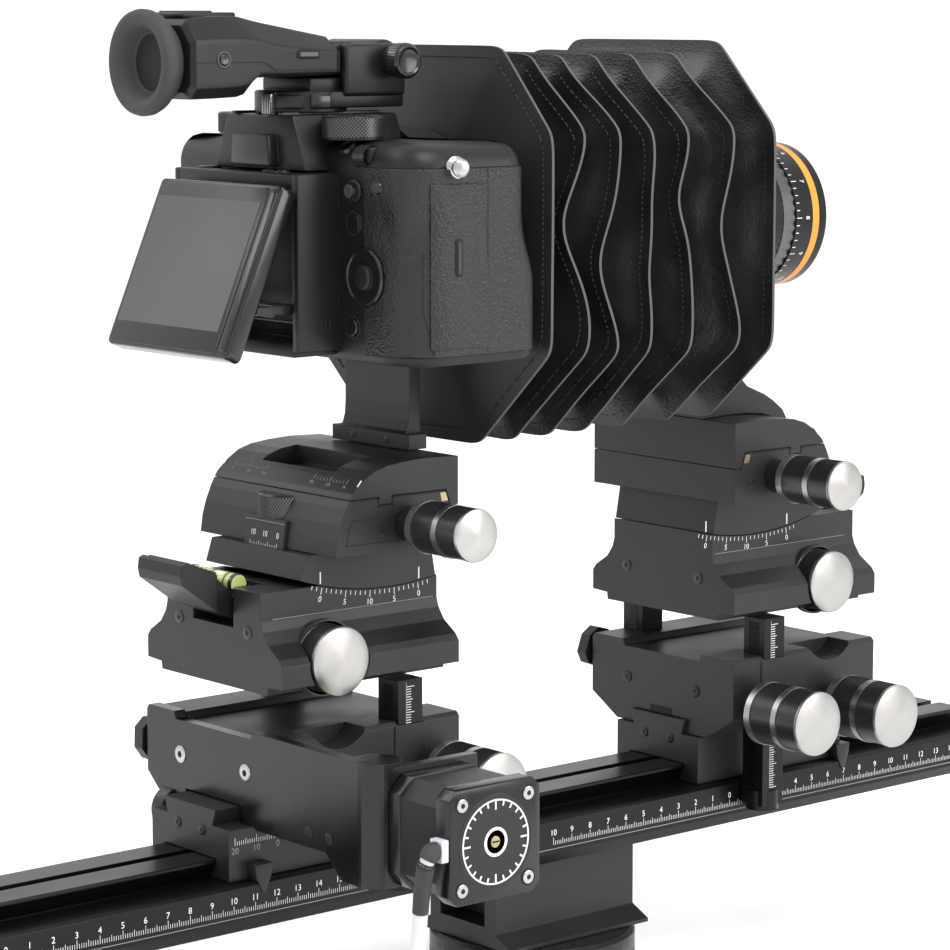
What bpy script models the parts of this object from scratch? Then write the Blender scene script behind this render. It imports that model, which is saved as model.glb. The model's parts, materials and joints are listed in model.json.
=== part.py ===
"""Technical view camera on a monorail, built from separate named pieces.

Metres, +Z up. The origin is the centre of the round base's bottom face. The lens looks along -Y,
the rail runs along Y, and the control knobs are on the -X side.
"""

import math

import bmesh
import bpy
from mathutils import Matrix, Vector

# --- driving dimensions -------------------------------------------------------------------------
GAP = 0.0003  # running gap between neighbouring pieces
OPTICAL_Z = 0.3170  # height of the tilt axis and of the camera body's lens mount
LENS_Z = 0.3150  # height of the lens in its plate

BASE_RADIUS = 0.0400
BASE_TOP = 0.0110
TURNTABLE_RADIUS = 0.0425
TURNTABLE_TOP = 0.0250
SOCKET_RADIUS = 0.0048
SOCKET_DEPTH = 0.0080

CLAMP_HALF_X = 0.0205
CLAMP_HALF_Y = 0.0380
CLAMP_FOOT_HALF_X = 0.0300

RAIL_BOTTOM = 0.0585
RAIL_TOP = 0.0852
RAIL_HALF = 0.0300
RAIL_FRONT = -0.2480
RAIL_SEAM = 0.0700
RAIL_REAR = 0.2850

REAR_PLANE = 0.1005  # y of the rear standard's swing axis and film plane line
FRONT_PLANE = -0.0973
BLOCK_HALF = 0.0435  # half width of every block of a standard
BLOCK_IN = -0.0242  # the blocks' reach from the plane line, towards the bellows
BLOCK_OUT = 0.0610  # and away from it

CARRIAGE_LENGTH = 0.0866
CARRIAGE_HALF = 0.0250
CARRIAGE_SHOULDER = 0.0976
DOVETAIL_TOP = 0.1038
DOVETAIL_HALF = 0.0165
DOVETAIL_FOOT = 0.0145

FOCUS_TOP = 0.1330  # side shelves of the focus block
FOCUS_CHANNEL = 0.1302  # floor of the channel between them
POST_X = 0.0373
POST_SIDE = 0.0120
POST_BOTTOM = 0.0660
COLLAR_RADIUS = 0.0069
COLLAR_HEIGHT = 0.0085
TILT_BOTTOM = 0.1490
TILT_TOP = 0.1870
TILT_RADIUS = 0.1340
CRADLE_TOP = 0.1990
CRADLE_HALF = 0.0300
SLIDE_TOP = 0.2334

KNOB_END = 0.0830  # outer faces of the twin-band knobs, from the middle plane
SMALL_KNOB_END = 0.0840
KNOB_RADIUS = 0.0133
SMALL_KNOB_RADIUS = 0.0102
KNOB_LENGTH = 0.0315
KNOB_BAND = 0.0032  # width of a knob's plain rings
KNURL_DEPTH = 0.0005
SHAFT_RADIUS = 0.0030
RISE_REACH = -0.0128
RISE_Z = 0.1113
FOCUS_REACH = 0.0345
FOCUS_Z = 0.1080
SHIFT_Z = 0.2090
TILT_KNOB_REACH = 0.0339
TILT_KNOB_Z = 0.1602
TILT_KNOB_RADIUS = 0.0132
TILT_KNOB_END = 0.0457
VIAL_REACH = 0.0560
VIAL_Z = 0.1875
VIAL_RADIUS = 0.0038
LEVER_HUB = (0.0180, 0.1150)  # reach and height of the focus lever's pivot
LEVER_HANDLE = [  # along and across the handle
    (0, -0.0050), (0.0290, -0.0045), (0.0350, -0.0085), (0.0410, -0.0085), (0.0450, -0.0040),
    (0.0455, 0.0040), (0.0420, 0.0080), (0.0360, 0.0085), (0.0290, 0.0050), (0, 0.0050)]

MOTOR_SIDE = 0.0423
MOTOR_FRONT_X = -0.1330
MOTOR_BACK_X = -0.0985
MOTOR_Y = 0.1346
MOTOR_Z = 0.1083
BRACKET_OUTER_Y = 0.1625
BRACKET_THICK = 0.0050
BRACKET_LEG_X = -0.0940
BRACKET_CORNER = 0.0090
REAR_FOCUS_OUT = 0.0567  # the rear focus block ends against the motor bracket

CABLE_DIAMETER = 0.0055
COIL_RADIUS = 0.0310  # middle of the coil's turns
COIL_CENTRE = (-0.1570, 0.2450)
COIL_WRAPS = 3  # turns side by side, and layers
CABLE_ROUTE = [
    (-0.1300, 0.1602, 0.1083), (-0.1301, 0.1620, 0.1082), (-0.1303, 0.1642, 0.1050),
    (-0.1277, 0.1632, 0.0997), (-0.1250, 0.1620, 0.0930), (-0.1236, 0.1616, 0.0851),
    (-0.1230, 0.1620, 0.0732), (-0.1228, 0.1640, 0.0500), (-0.1232, 0.1700, 0.0290),
    (-0.1240, 0.1800, 0.0110), (-0.1248, 0.1940, 0.0034), (-0.1253, 0.2050, 0.0029),
    (-0.1257, 0.2150, 0.0029)]
CABLE_POINTS = 36

BODY_LEFT = 0.0710
BODY_RIGHT = -0.0760
BODY_FRONT = 0.0835
BODY_REAR = 0.1250
BODY_BOTTOM = 0.2720
BODY_TOP = 0.3540
HUMP_TOP = 0.3632
SCREEN_TILT = 23.5  # degrees from upright
SCREEN_HINGE = (0.1500, 0.3360)  # y, z
ARM_PIVOT = (0.1385, 0.2920)  # y, z
EVF_AXIS = (0.0900, 0.3830)  # y, z of the viewfinder's tilt axis
SWIVEL_Y = 0.1180

BELLOWS_Z = 0.3133  # the soft bag hangs a little below the optical axis
BELLOWS_HALF = 0.0760
BELLOWS_FLAT = 0.0440  # half length of the top and bottom edges
BELLOWS_SIDE = 0.0430  # half height of the side edges
BELLOWS_FOLD = 0.70  # size of a valley as a share of a ridge
BELLOWS_WALL = 0.0025
FRAME_HALF = 0.0460  # half size of the square lens plate
BELLOWS_Y = (0.0610, 0.0570, 0.0480, 0.0400, 0.0310, 0.0230, 0.0140, 0.0055, -0.0040, -0.0140,
             -0.0260, -0.0380, -0.0490, -0.0610, -0.0728)

SEGMENTS = 40

parts = bpy.data.collections.new("view_camera")
tools = bpy.data.collections.new("cutters")


# --- materials ----------------------------------------------------------------------------------
def material(name, colour, roughness, metallic):
    made = bpy.data.materials.new(name)
    made.use_nodes = True
    shader = made.node_tree.nodes["Principled BSDF"]
    shader.inputs["Base Color"].default_value = (*colour, 1.0)
    shader.inputs["Roughness"].default_value = roughness
    shader.inputs["Metallic"].default_value = metallic
    return made


def make_materials():
    return {
        "anodised": material("anodised", (0.045, 0.045, 0.048), 0.48, 0.6),
        "rail": material("rail", (0.02, 0.02, 0.022), 0.35, 0.7),
        "silver": material("silver", (0.75, 0.74, 0.72), 0.3, 1.0),
        "knurl": material("knurl", (0.03, 0.03, 0.032), 0.5, 0.4),
        "motor": material("motor", (0.025, 0.025, 0.027), 0.5, 0.2),
        "plastic": material("plastic", (0.03, 0.03, 0.032), 0.5, 0.0),
        "screen": material("screen", (0.05, 0.055, 0.06), 0.15, 0.0),
        "rubber": material("rubber", (0.02, 0.02, 0.02), 0.8, 0.0),
        "leather": material("leather", (0.018, 0.018, 0.019), 0.55, 0.0),
        "lens": material("lens", (0.02, 0.02, 0.022), 0.35, 0.5),
        "glass": material("glass", (0.1, 0.12, 0.14), 0.05, 0.0),
        "vial": material("vial", (0.6, 0.75, 0.1), 0.15, 0.0),
        "cable": material("cable", (0.75, 0.75, 0.73), 0.5, 0.0),
    }


# --- shape helpers ------------------------------------------------------------------------------
def put(name, mesh, look=None):
    """Links a mesh as a piece of the camera, or as a cutter where it has no look."""
    made = bpy.data.objects.new(name, mesh)
    if look is None:
        tools.objects.link(made)
        made.hide_render = True
        made.display_type = "WIRE"
    else:
        parts.objects.link(made)
        mesh.materials.append(look)
    return made


def finished(name, shape, look):
    bmesh.ops.recalc_face_normals(shape, faces=shape.faces)
    mesh = bpy.data.meshes.new(name)
    shape.to_mesh(mesh)
    shape.free()
    return put(name, mesh, look)


def box(name, low, high, look=None, bevel=0.0):
    """A box between two corners, with its edges bevelled."""
    low, high = Vector(low), Vector(high)
    shape = bmesh.new()
    bmesh.ops.create_cube(shape, size=1.0)
    size = high - low
    bmesh.ops.scale(shape, vec=size, verts=shape.verts)
    bmesh.ops.translate(shape, vec=(low + high) / 2, verts=shape.verts)
    made = finished(name, shape, look)
    if bevel:
        bevel_edges(made, bevel)
    return made


def bevel_edges(piece, width, segments=1):
    modifier = piece.modifiers.new("Bevel", "BEVEL")
    modifier.width = width
    modifier.segments = segments
    modifier.limit_method = "ANGLE"


def axis_matrix(axis, at):
    """Turns +Z onto an axis and moves to a point."""
    turn = Vector((0, 0, 1)).rotation_difference(Vector(axis)).to_matrix().to_4x4()
    return Matrix.Translation(Vector(at)) @ turn


def rod(name, radius, start, end, look=None, segments=SEGMENTS):
    """A plain cylinder between two points."""
    start, end = Vector(start), Vector(end)
    shape = bmesh.new()
    length = (end - start).length
    bmesh.ops.create_cone(shape, cap_ends=True, segments=segments, radius1=radius,
                          radius2=radius, depth=length)
    shape.transform(axis_matrix(end - start, (start + end) / 2))
    return finished(name, shape, look)


def turned(name, profile, at, axis, look=None, segments=SEGMENTS):
    """A turned piece: profile is (radius, height) pairs from the top down, about the axis.

    A profile that never meets the axis is closed into a ring's section.
    """
    shape = bmesh.new()
    corners = [shape.verts.new((radius, 0, height)) for radius, height in profile]
    for first, second in zip(corners, corners[1:]):
        shape.edges.new((first, second))
    if min(radius for radius, height in profile) > 0:
        shape.edges.new((corners[-1], corners[0]))
    mesh = bpy.data.meshes.new(name)
    shape.to_mesh(mesh)
    shape.free()
    made = put(name, mesh, look)
    modifier = made.modifiers.new("Screw", "SCREW")
    modifier.axis = "Z"
    modifier.steps = segments
    modifier.render_steps = segments
    modifier.use_merge_vertices = True
    modifier.merge_threshold = 0.00002
    modifier.use_smooth_shade = True
    made.matrix_world = axis_matrix(axis, at)
    return made


PLANES = {
    # plane of an outline: the matrix that puts its (u, v) onto the named world axes
    "xz": Matrix(((1, 0, 0, 0), (0, 0, -1, 0), (0, 1, 0, 0), (0, 0, 0, 1))),
    "yz": Matrix(((0, 0, 1, 0), (1, 0, 0, 0), (0, 1, 0, 0), (0, 0, 0, 1))),
    "xy": Matrix.Identity(4),
}
NORMALS = {"xz": Vector((0, 1, 0)), "yz": Vector((1, 0, 0)), "xy": Vector((0, 0, 1))}


def extruded(name, outline, plane, low, high, look=None):
    """A flat outline in a plane, thickened between two positions along the plane's normal."""
    curve = bpy.data.curves.new(name, "CURVE")
    curve.dimensions = "2D"
    curve.fill_mode = "BOTH"
    curve.extrude = (high - low) / 2
    spline = curve.splines.new("POLY")
    spline.points.add(len(outline) - 1)
    for point, (u, v) in zip(spline.points, outline):
        point.co = (u, v, 0, 1)
    spline.use_cyclic_u = True
    flat = bpy.data.objects.new(name, curve)
    bpy.context.scene.collection.objects.link(flat)
    flat.matrix_world = Matrix.Translation(NORMALS[plane] * (low + high) / 2) @ PLANES[plane]
    bpy.context.view_layer.update()
    evaluated = flat.evaluated_get(bpy.context.evaluated_depsgraph_get())
    mesh = bpy.data.meshes.new_from_object(evaluated)
    shape = bmesh.new()
    shape.from_mesh(mesh)
    shape.transform(flat.matrix_world)
    bmesh.ops.remove_doubles(shape, verts=shape.verts, dist=0.00001)
    bpy.data.objects.remove(flat)
    bpy.data.meshes.remove(mesh)
    return finished(name, shape, look)


def boolean(target, tool, operation):
    modifier = target.modifiers.new(operation.title(), "BOOLEAN")
    modifier.operation = operation
    modifier.solver = "EXACT"
    modifier.object = tool
    return target


def cut(target, *cutters):
    for tool in cutters:
        boolean(target, tool, "DIFFERENCE")
    return target


def join(target, *additions):
    for tool in additions:
        boolean(target, tool, "UNION")
    return target


def mirrored(half):
    """A closed outline from the +u half of its corners, listed from the bottom to the top."""
    return half + [(-u, v) for u, v in reversed(half)]


def arc(centre, radius, first, last, steps):
    """Points on a circle from one angle to another, in degrees."""
    angles = [math.radians(first + (last - first) * i / steps) for i in range(steps + 1)]
    return [(centre[0] + radius * math.cos(a), centre[1] + radius * math.sin(a)) for a in angles]


# --- base and rail ------------------------------------------------------------------------------
def build_base(look):
    base = turned("base_plate", [
        (0, BASE_TOP), (BASE_RADIUS - 0.002, BASE_TOP), (BASE_RADIUS, BASE_TOP - 0.002),
        (BASE_RADIUS, 0.0015), (BASE_RADIUS - 0.0015, 0), (0, 0)], (0, 0, 0), (0, 0, 1),
        look["anodised"], 48)
    cut(base, rod("socket_cutter", SOCKET_RADIUS, (0, 0, -0.001), (0, 0, SOCKET_DEPTH)))
    turned("turntable_disc", [
        (0, TURNTABLE_TOP), (TURNTABLE_RADIUS - 0.0015, TURNTABLE_TOP),
        (TURNTABLE_RADIUS, TURNTABLE_TOP - 0.0015), (TURNTABLE_RADIUS, BASE_TOP + 0.0015),
        (TURNTABLE_RADIUS - 0.001, BASE_TOP + GAP), (0, BASE_TOP + GAP)], (0, 0, 0), (0, 0, 1),
        look["knurl"], 64)


def build_clamp(look):
    low = TURNTABLE_TOP + GAP
    high = RAIL_BOTTOM - GAP
    side = [(CLAMP_FOOT_HALF_X, low), (CLAMP_FOOT_HALF_X, low + 0.0015),
            (CLAMP_HALF_X, low + 0.0060), (CLAMP_HALF_X, high)]
    block = extruded("rail_clamp_block", mirrored(side), "xz", -CLAMP_HALF_Y, CLAMP_HALF_Y,
                     look["anodised"])
    pocket = box("clamp_pocket", (-0.014, CLAMP_HALF_Y - 0.012, low + 0.008),
                 (0.014, CLAMP_HALF_Y + 0.005, high - 0.008))
    bore = rod("clamp_bore", 0.0034, (0.012, 0, 0.043), (0.03, 0, 0.043), segments=24)
    cut(block, pocket, bore)
    knob_x = CLAMP_HALF_X + GAP
    turned("rail_clamp_knob", [
        (0, 0.0300), (0.0085, 0.0300), (0.0095, 0.0290), (0.0095, 0.0130), (0.0080, 0.0120),
        (0.0055, 0.0092), (SHAFT_RADIUS, 0.0088), (SHAFT_RADIUS, 0), (0, 0)],
        (knob_x - 0.0085, 0, 0.043), (1, 0, 0), look["knurl"], 24)


def rail_outline():
    return mirrored([
        (0.0262, RAIL_BOTTOM), (0.0285, 0.0628), (0.0285, 0.0640), (RAIL_HALF, 0.0648),
        (RAIL_HALF, 0.0764), (0.0290, 0.0774), (0.0128, 0.0774), (DOVETAIL_HALF, 0.0838),
        (DOVETAIL_HALF, RAIL_TOP - 0.0004), (0.0161, RAIL_TOP), (0.0025, RAIL_TOP),
        (0.0025, RAIL_TOP - 0.0040)])


def build_rail(look):
    extruded("rail_main", rail_outline(), "xz", RAIL_FRONT, RAIL_SEAM, look["rail"])
    extruded("rail_extension", rail_outline(), "xz", RAIL_SEAM + GAP, RAIL_REAR, look["rail"])


# --- one standard -------------------------------------------------------------------------------
class Standard:
    """A front or rear standard. Positions along Y are reaches from its plane line, outward."""

    def __init__(self, name, plane, outward, carriage_in, focus_out, lever_angle, look):
        self.name = name
        self.plane = plane
        self.outward = outward
        self.carriage_in = carriage_in
        self.focus_out = focus_out
        self.lever_angle = lever_angle
        self.look = look

    def y(self, reach):
        return self.plane + self.outward * reach

    def span(self, first, last):
        """Two reaches as low and high y."""
        return sorted((self.y(first), self.y(last)))

    def side_outline(self, points):
        """A (reach, z) outline as (y, z)."""
        return [(self.y(reach), z) for reach, z in points]

    def title(self, piece):
        return f"{self.name}_{piece}"

    def carriage(self):
        outer = [
            (DOVETAIL_HALF, DOVETAIL_TOP), (DOVETAIL_FOOT, CARRIAGE_SHOULDER),
            (CARRIAGE_HALF, CARRIAGE_SHOULDER), (CARRIAGE_HALF, 0.0777), (0.0132, 0.0777),
            (0.0132, 0.0780), (0.0169, 0.0841), (0.0169, RAIL_TOP + GAP)]
        low, high = self.span(self.carriage_in, self.carriage_in + CARRIAGE_LENGTH)
        extruded(self.title("rail_carriage"), mirrored(outer), "xz", low, high,
                 self.look["anodised"])

    def focus_block(self, shafts):
        """shafts: reach of each knob's shaft bore in the block."""
        inner = DOVETAIL_TOP + GAP
        outer = [
            (0.0230, FOCUS_CHANNEL), (0.0243, FOCUS_TOP), (BLOCK_HALF - 0.0015, FOCUS_TOP),
            (BLOCK_HALF, FOCUS_TOP - 0.0015), (BLOCK_HALF, 0.1075),
            (0.0275, CARRIAGE_SHOULDER + GAP), (DOVETAIL_FOOT + GAP, CARRIAGE_SHOULDER + GAP),
            (DOVETAIL_HALF + 0.0004, inner)]
        low, high = self.span(BLOCK_IN, self.focus_out)
        block = extruded(self.title("focus_block"), mirrored(outer), "xz", low, high,
                         self.look["anodised"])
        reach = POST_SIDE / 2 + GAP
        for side in (-1, 1):
            channel = box(self.title("post_channel"),
                          (side * POST_X - reach, self.plane - reach, 0.090),
                          (side * POST_X + reach, self.plane + reach, 0.140))
            cut(block, channel)
        knob_y = self.y(TILT_KNOB_REACH)
        scallop = rod(self.title("scallop"), 0.0155, (-0.060, knob_y, 0.1420),
                      (-0.030, knob_y, 0.1420), segments=32)
        cut(block, scallop)
        for reach, z in shafts:
            bore = rod(self.title("shaft_bore"), SHAFT_RADIUS + GAP, (-0.060, self.y(reach), z),
                       (-0.022, self.y(reach), z), segments=24)
            cut(block, bore)
        hub_y = self.y(LEVER_HUB[0])
        lever_bore = rod(self.title("lever_bore"), SHAFT_RADIUS + GAP, (0.034, hub_y, LEVER_HUB[1]),
                         (0.060, hub_y, LEVER_HUB[1]), segments=24)
        cut(block, lever_bore)

    def posts(self):
        half = POST_SIDE / 2
        for side, title in ((-1, "post_near"), (1, "post_far")):
            x = side * POST_X
            post = box(self.title(title), (x - half, self.plane - half, POST_BOTTOM + 0.002),
                       (x + half, self.plane + half, TILT_BOTTOM - GAP), self.look["rail"])
            collar = rod(self.title("collar"), COLLAR_RADIUS, (x, self.plane, POST_BOTTOM),
                         (x, self.plane, POST_BOTTOM + COLLAR_HEIGHT), segments=32)
            join(post, collar)

    def tilt_block(self):
        half = [
            (0.0340, TILT_BOTTOM), (0.0345, 0.1520), (BLOCK_HALF, 0.1525), (BLOCK_HALF, 0.1610),
            (0.0415, 0.1635), (0.0345, 0.1680), (0.0312, 0.1725), (0.0300, 0.1762),
            (0.0300, TILT_TOP)]
        low, high = self.span(BLOCK_IN, BLOCK_OUT)
        block = extruded(self.title("tilt_block"), mirrored(half), "xz", low, high,
                         self.look["anodised"])
        bed = rod(self.title("tilt_bed"), TILT_RADIUS + GAP, (-0.06, self.plane, OPTICAL_Z),
                  (0.06, self.plane, OPTICAL_Z), segments=120)
        low, high = self.span(0.0460, 0.0700)
        slot = box(self.title("lever_slot"), (-0.0130, low, 0.1720), (0.0130, high, 0.1980))
        low, high = self.span(0.0515, 0.0605)
        pocket = box(self.title("vial_pocket"), (-0.0205, low, 0.1834), (0.0205, high, 0.1985))
        knob_y = self.y(TILT_KNOB_REACH)
        knob_seat = rod(self.title("knob_seat"), 0.0142, (-0.060, knob_y, TILT_KNOB_Z),
                        (-0.0320, knob_y, TILT_KNOB_Z), segments=32)
        knob_bore = rod(self.title("tilt_bore"), SHAFT_RADIUS + GAP, (-0.040, knob_y, TILT_KNOB_Z),
                        (-0.0130, knob_y, TILT_KNOB_Z), segments=24)
        cut(block, bed, slot, pocket, knob_seat, knob_bore)

    def cradle(self):
        first = math.degrees(math.atan2(-0.1180, -0.0210))
        last = math.degrees(math.atan2(-0.1180, 0.0395))
        bottom = arc((0, OPTICAL_Z), TILT_RADIUS, first, last, 14)
        outline = bottom + [(0.0395, CRADLE_TOP), (-0.0210, CRADLE_TOP)]
        extruded(self.title("tilt_cradle"), self.side_outline(outline), "yz", -CRADLE_HALF,
                 CRADLE_HALF, self.look["anodised"])

    def swing_block(self):
        low = CRADLE_TOP + GAP
        outline = [
            (BLOCK_IN, low), (0.0356, low), (0.0347, 0.2057), (0.0330, 0.2113), (0.0304, 0.2172),
            (0.0287, 0.2202), (0.0148, 0.2202), (0.0148, 0.2172), (0.0082, 0.2172),
            (0.0082, 0.2203), (-0.0180, 0.2202), (-0.0205, 0.2138), (BLOCK_IN, 0.2138)]
        block = extruded(self.title("swing_block"), self.side_outline(outline), "yz", -0.0430,
                         0.0430, self.look["anodised"])
        bore = rod(self.title("shift_bore"), SHAFT_RADIUS + GAP, (-0.050, self.plane, SHIFT_Z),
                   (-0.024, self.plane, SHIFT_Z), segments=24)
        cut(block, bore)

    def shift_slide(self):
        outline = [
            (BLOCK_IN, 0.2141), (-0.0208, 0.2141), (-0.0183, 0.2205), (0.0085, 0.2206),
            (0.0085, 0.2175), (0.0145, 0.2175), (0.0145, 0.2205), (0.0286, 0.2205),
            (0.0272, 0.2226), (0.0221, 0.2270), (0.0168, 0.2302), (0.0106, 0.2320),
            (0.0021, 0.2329), (-0.0085, SLIDE_TOP), (BLOCK_IN, 0.2328)]
        slide = extruded(self.title("shift_slide"), self.side_outline(outline), "yz", -0.0430,
                         0.0430, self.look["anodised"])
        if self.name == "rear":
            low, high = self.span(0.0030, 0.0200)
            window = box("slide_window", (-0.0230, low, 0.2260), (0.0230, high, 0.2400))
            cut(slide, window)

    def twin_knob(self, title, reach, z, radius, end, depth):
        """A knob with two knurled bands between plain rings, a domed cap and its shaft, along -X."""
        start = end - KNOB_LENGTH
        middle = end - 0.0148
        knurl = radius - KNURL_DEPTH
        turned(self.title(title), [
            (0, end), (radius * 0.5, end - 0.0003), (radius - 0.0012, end - 0.0009),
            (radius, end - 0.0016), (knurl, end - 0.0020), (knurl, middle + KNOB_BAND / 2),
            (radius, middle + KNOB_BAND / 2), (radius, middle - KNOB_BAND / 2),
            (knurl, middle - KNOB_BAND / 2), (knurl, start + KNOB_BAND), (radius, start + KNOB_BAND),
            (radius, start), (0.0070, start), (0.0070, BLOCK_HALF + GAP),
            (SHAFT_RADIUS, BLOCK_HALF + GAP), (SHAFT_RADIUS, depth), (0, depth)],
            (0, self.y(reach), z), (-1, 0, 0), self.look["knurl"], 28)

    def tilt_knob(self):
        end, start = TILT_KNOB_END, TILT_KNOB_END - 0.0130
        turned(self.title("tilt_knob"), [
            (0, end), (TILT_KNOB_RADIUS * 0.6, end - 0.0003), (TILT_KNOB_RADIUS - 0.0008, end - 0.0010),
            (TILT_KNOB_RADIUS, end - 0.0018), (TILT_KNOB_RADIUS, start + 0.0006),
            (TILT_KNOB_RADIUS - 0.0006, start), (SHAFT_RADIUS, start), (SHAFT_RADIUS, 0.0140),
            (0, 0.0140)], (0, self.y(TILT_KNOB_REACH), TILT_KNOB_Z), (-1, 0, 0), self.look["silver"], 36)

    def focus_lever(self):
        """Lock lever on the +X side: a hub on a short shaft and a handle with a rounded end."""
        low = BLOCK_HALF + GAP
        y, z = self.y(LEVER_HUB[0]), LEVER_HUB[1]
        lever = rod(self.title("focus_lever"), 0.0065, (low, y, z), (low + 0.0080, y, z),
                    self.look["plastic"], 32)
        shaft = rod(self.title("lever_shaft"), SHAFT_RADIUS, (0.0360, y, z), (low + 0.001, y, z),
                    segments=24)
        turn = math.radians(self.lever_angle)
        outline = []
        for along, across in LEVER_HANDLE:
            reach = LEVER_HUB[0] + along * math.cos(turn) - across * math.sin(turn)
            height = z + along * math.sin(turn) + across * math.cos(turn)
            outline.append((self.y(reach), height))
        handle = extruded(self.title("lever_handle"), outline, "yz", low + 0.0015, low + 0.0070)
        join(lever, shaft, handle)

    def level_lever(self):
        """Paddle that locks the tilt, in the slot at the outer end of the tilt block."""
        outline = [
            (0.0500, 0.1750), (0.0560, 0.1735), (0.0640, 0.1770), (0.0690, 0.1790),
            (0.0848, 0.1905), (0.0856, 0.1940), (0.0850, 0.1980), (0.0830, 0.1988),
            (0.0690, 0.1930), (0.0600, 0.1850), (0.0500, 0.1800)]
        lever = extruded(self.title("level_lever"), self.side_outline(outline), "yz", -0.0105,
                         0.0105, self.look["plastic"])
        wide = extruded(self.title("lever_paddle"), self.side_outline(outline[3:9]), "yz", -0.0140,
                        0.0140)
        join(lever, wide)

    def build(self):
        self.carriage()
        self.posts()
        self.tilt_block()
        self.cradle()
        self.swing_block()
        self.shift_slide()
        self.twin_knob("shift_knob", 0, SHIFT_Z, SMALL_KNOB_RADIUS, SMALL_KNOB_END, 0.0260)
        self.tilt_knob()
        self.focus_lever()
        self.level_lever()


def build_standards(look):
    rear = Standard("rear", REAR_PLANE, 1, -0.0137, REAR_FOCUS_OUT, 5.6, look)
    rear.build()
    rear.focus_block([(RISE_REACH, RISE_Z), (MOTOR_Y - REAR_PLANE, MOTOR_Z)])
    rear.twin_knob("rise_knob", RISE_REACH, RISE_Z, KNOB_RADIUS, KNOB_END, 0.0250)
    rod("bubble_level", VIAL_RADIUS, (-0.0200, rear.y(VIAL_REACH), VIAL_Z),
        (0.0200, rear.y(VIAL_REACH), VIAL_Z), look["vial"], 24)
    front = Standard("front", FRONT_PLANE, -1, -0.0263, BLOCK_OUT, 164.0, look)
    front.build()
    front.focus_block([(RISE_REACH, RISE_Z), (FOCUS_REACH, FOCUS_Z)])
    front.twin_knob("rise_knob", RISE_REACH, RISE_Z, KNOB_RADIUS, KNOB_END, 0.0250)
    front.twin_knob("focus_knob", FOCUS_REACH, FOCUS_Z, KNOB_RADIUS, KNOB_END, 0.0250)


# --- focus motor --------------------------------------------------------------------------------
def build_motor(look):
    """Bracket in place of the focus block's end cover, the motor on its leg, and the shaft."""
    half = MOTOR_SIDE / 2
    inner_y = BRACKET_OUTER_Y - BRACKET_THICK
    corner_x = MOTOR_BACK_X + GAP + BRACKET_CORNER
    bottom = CARRIAGE_SHOULDER + GAP
    plate = extruded("motor_bracket", [
        (0.0420, FOCUS_TOP + 0.0008), (0.0434, 0.1320), (0.0434, 0.1075), (0.0360, 0.1010),
        (0.0180, bottom), (0.0180, DOVETAIL_TOP + 0.0007), (-0.0180, DOVETAIL_TOP + 0.0007),
        (-0.0180, bottom), (-0.0260, bottom), (-0.0270, 0.0965), (-0.0700, 0.0965),
        (-0.0800, 0.0875), (corner_x, 0.0875), (corner_x, 0.1335), (-0.0268, 0.1338),
        (-0.0240, 0.1309), (0.0240, 0.1309), (0.0250, 0.1338)], "xz", inner_y, BRACKET_OUTER_Y,
        look["anodised"])
    leg = box("bracket_leg", (MOTOR_BACK_X + GAP, MOTOR_Y - half, 0.0874),
              (BRACKET_LEG_X, BRACKET_OUTER_Y - BRACKET_CORNER, 0.1315))
    corner = rod("bracket_corner", BRACKET_CORNER, (corner_x, BRACKET_OUTER_Y - BRACKET_CORNER, 0.0872),
                 (corner_x, BRACKET_OUTER_Y - BRACKET_CORNER, 0.1334), segments=32)
    hole = rod("bracket_hole", 0.0110, (-0.1100, MOTOR_Y, MOTOR_Z), (-0.0920, MOTOR_Y, MOTOR_Z))
    join(plate, leg, corner)
    cut(plate, hole)
    motor = box("motor_body", (MOTOR_FRONT_X, MOTOR_Y - half, MOTOR_Z - half),
                (MOTOR_BACK_X, MOTOR_Y + half, MOTOR_Z + half), look["motor"])
    bevel_edges(motor, 0.0030, 2)
    cut(motor, rod("motor_bore", 0.0042, (-0.1400, MOTOR_Y, MOTOR_Z), (-0.0800, MOTOR_Y, MOTOR_Z)))
    turned("motor_shaft", [
        (0, 0.1300), (0.0025, 0.1300), (0.0025, 0.0900), (0.0080, 0.0900), (0.0080, 0.0480),
        (SHAFT_RADIUS, 0.0480), (SHAFT_RADIUS, 0.0250), (0, 0.0250)],
        (0, MOTOR_Y, MOTOR_Z), (-1, 0, 0), look["silver"], 32)


# --- motor cable --------------------------------------------------------------------------------
def smooth_route(points, count):
    """Points along the Catmull-Rom curve through a route, evenly spread over its spans."""
    route = [Vector(p) for p in points]
    ends = [route[0] * 2 - route[1]] + route + [route[-1] * 2 - route[-2]]
    found = []
    for i in range(count):
        place = (len(route) - 1) * i / (count - 1)
        span = min(int(place), len(route) - 2)
        t = place - span
        a, b, c, d = ends[span:span + 4]
        found.append(0.5 * ((2 * b) + (c - a) * t + (2 * a - 5 * b + 4 * c - d) * t ** 2
                            + (3 * b - a - 3 * c + d) * t ** 3))
    return found


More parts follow.
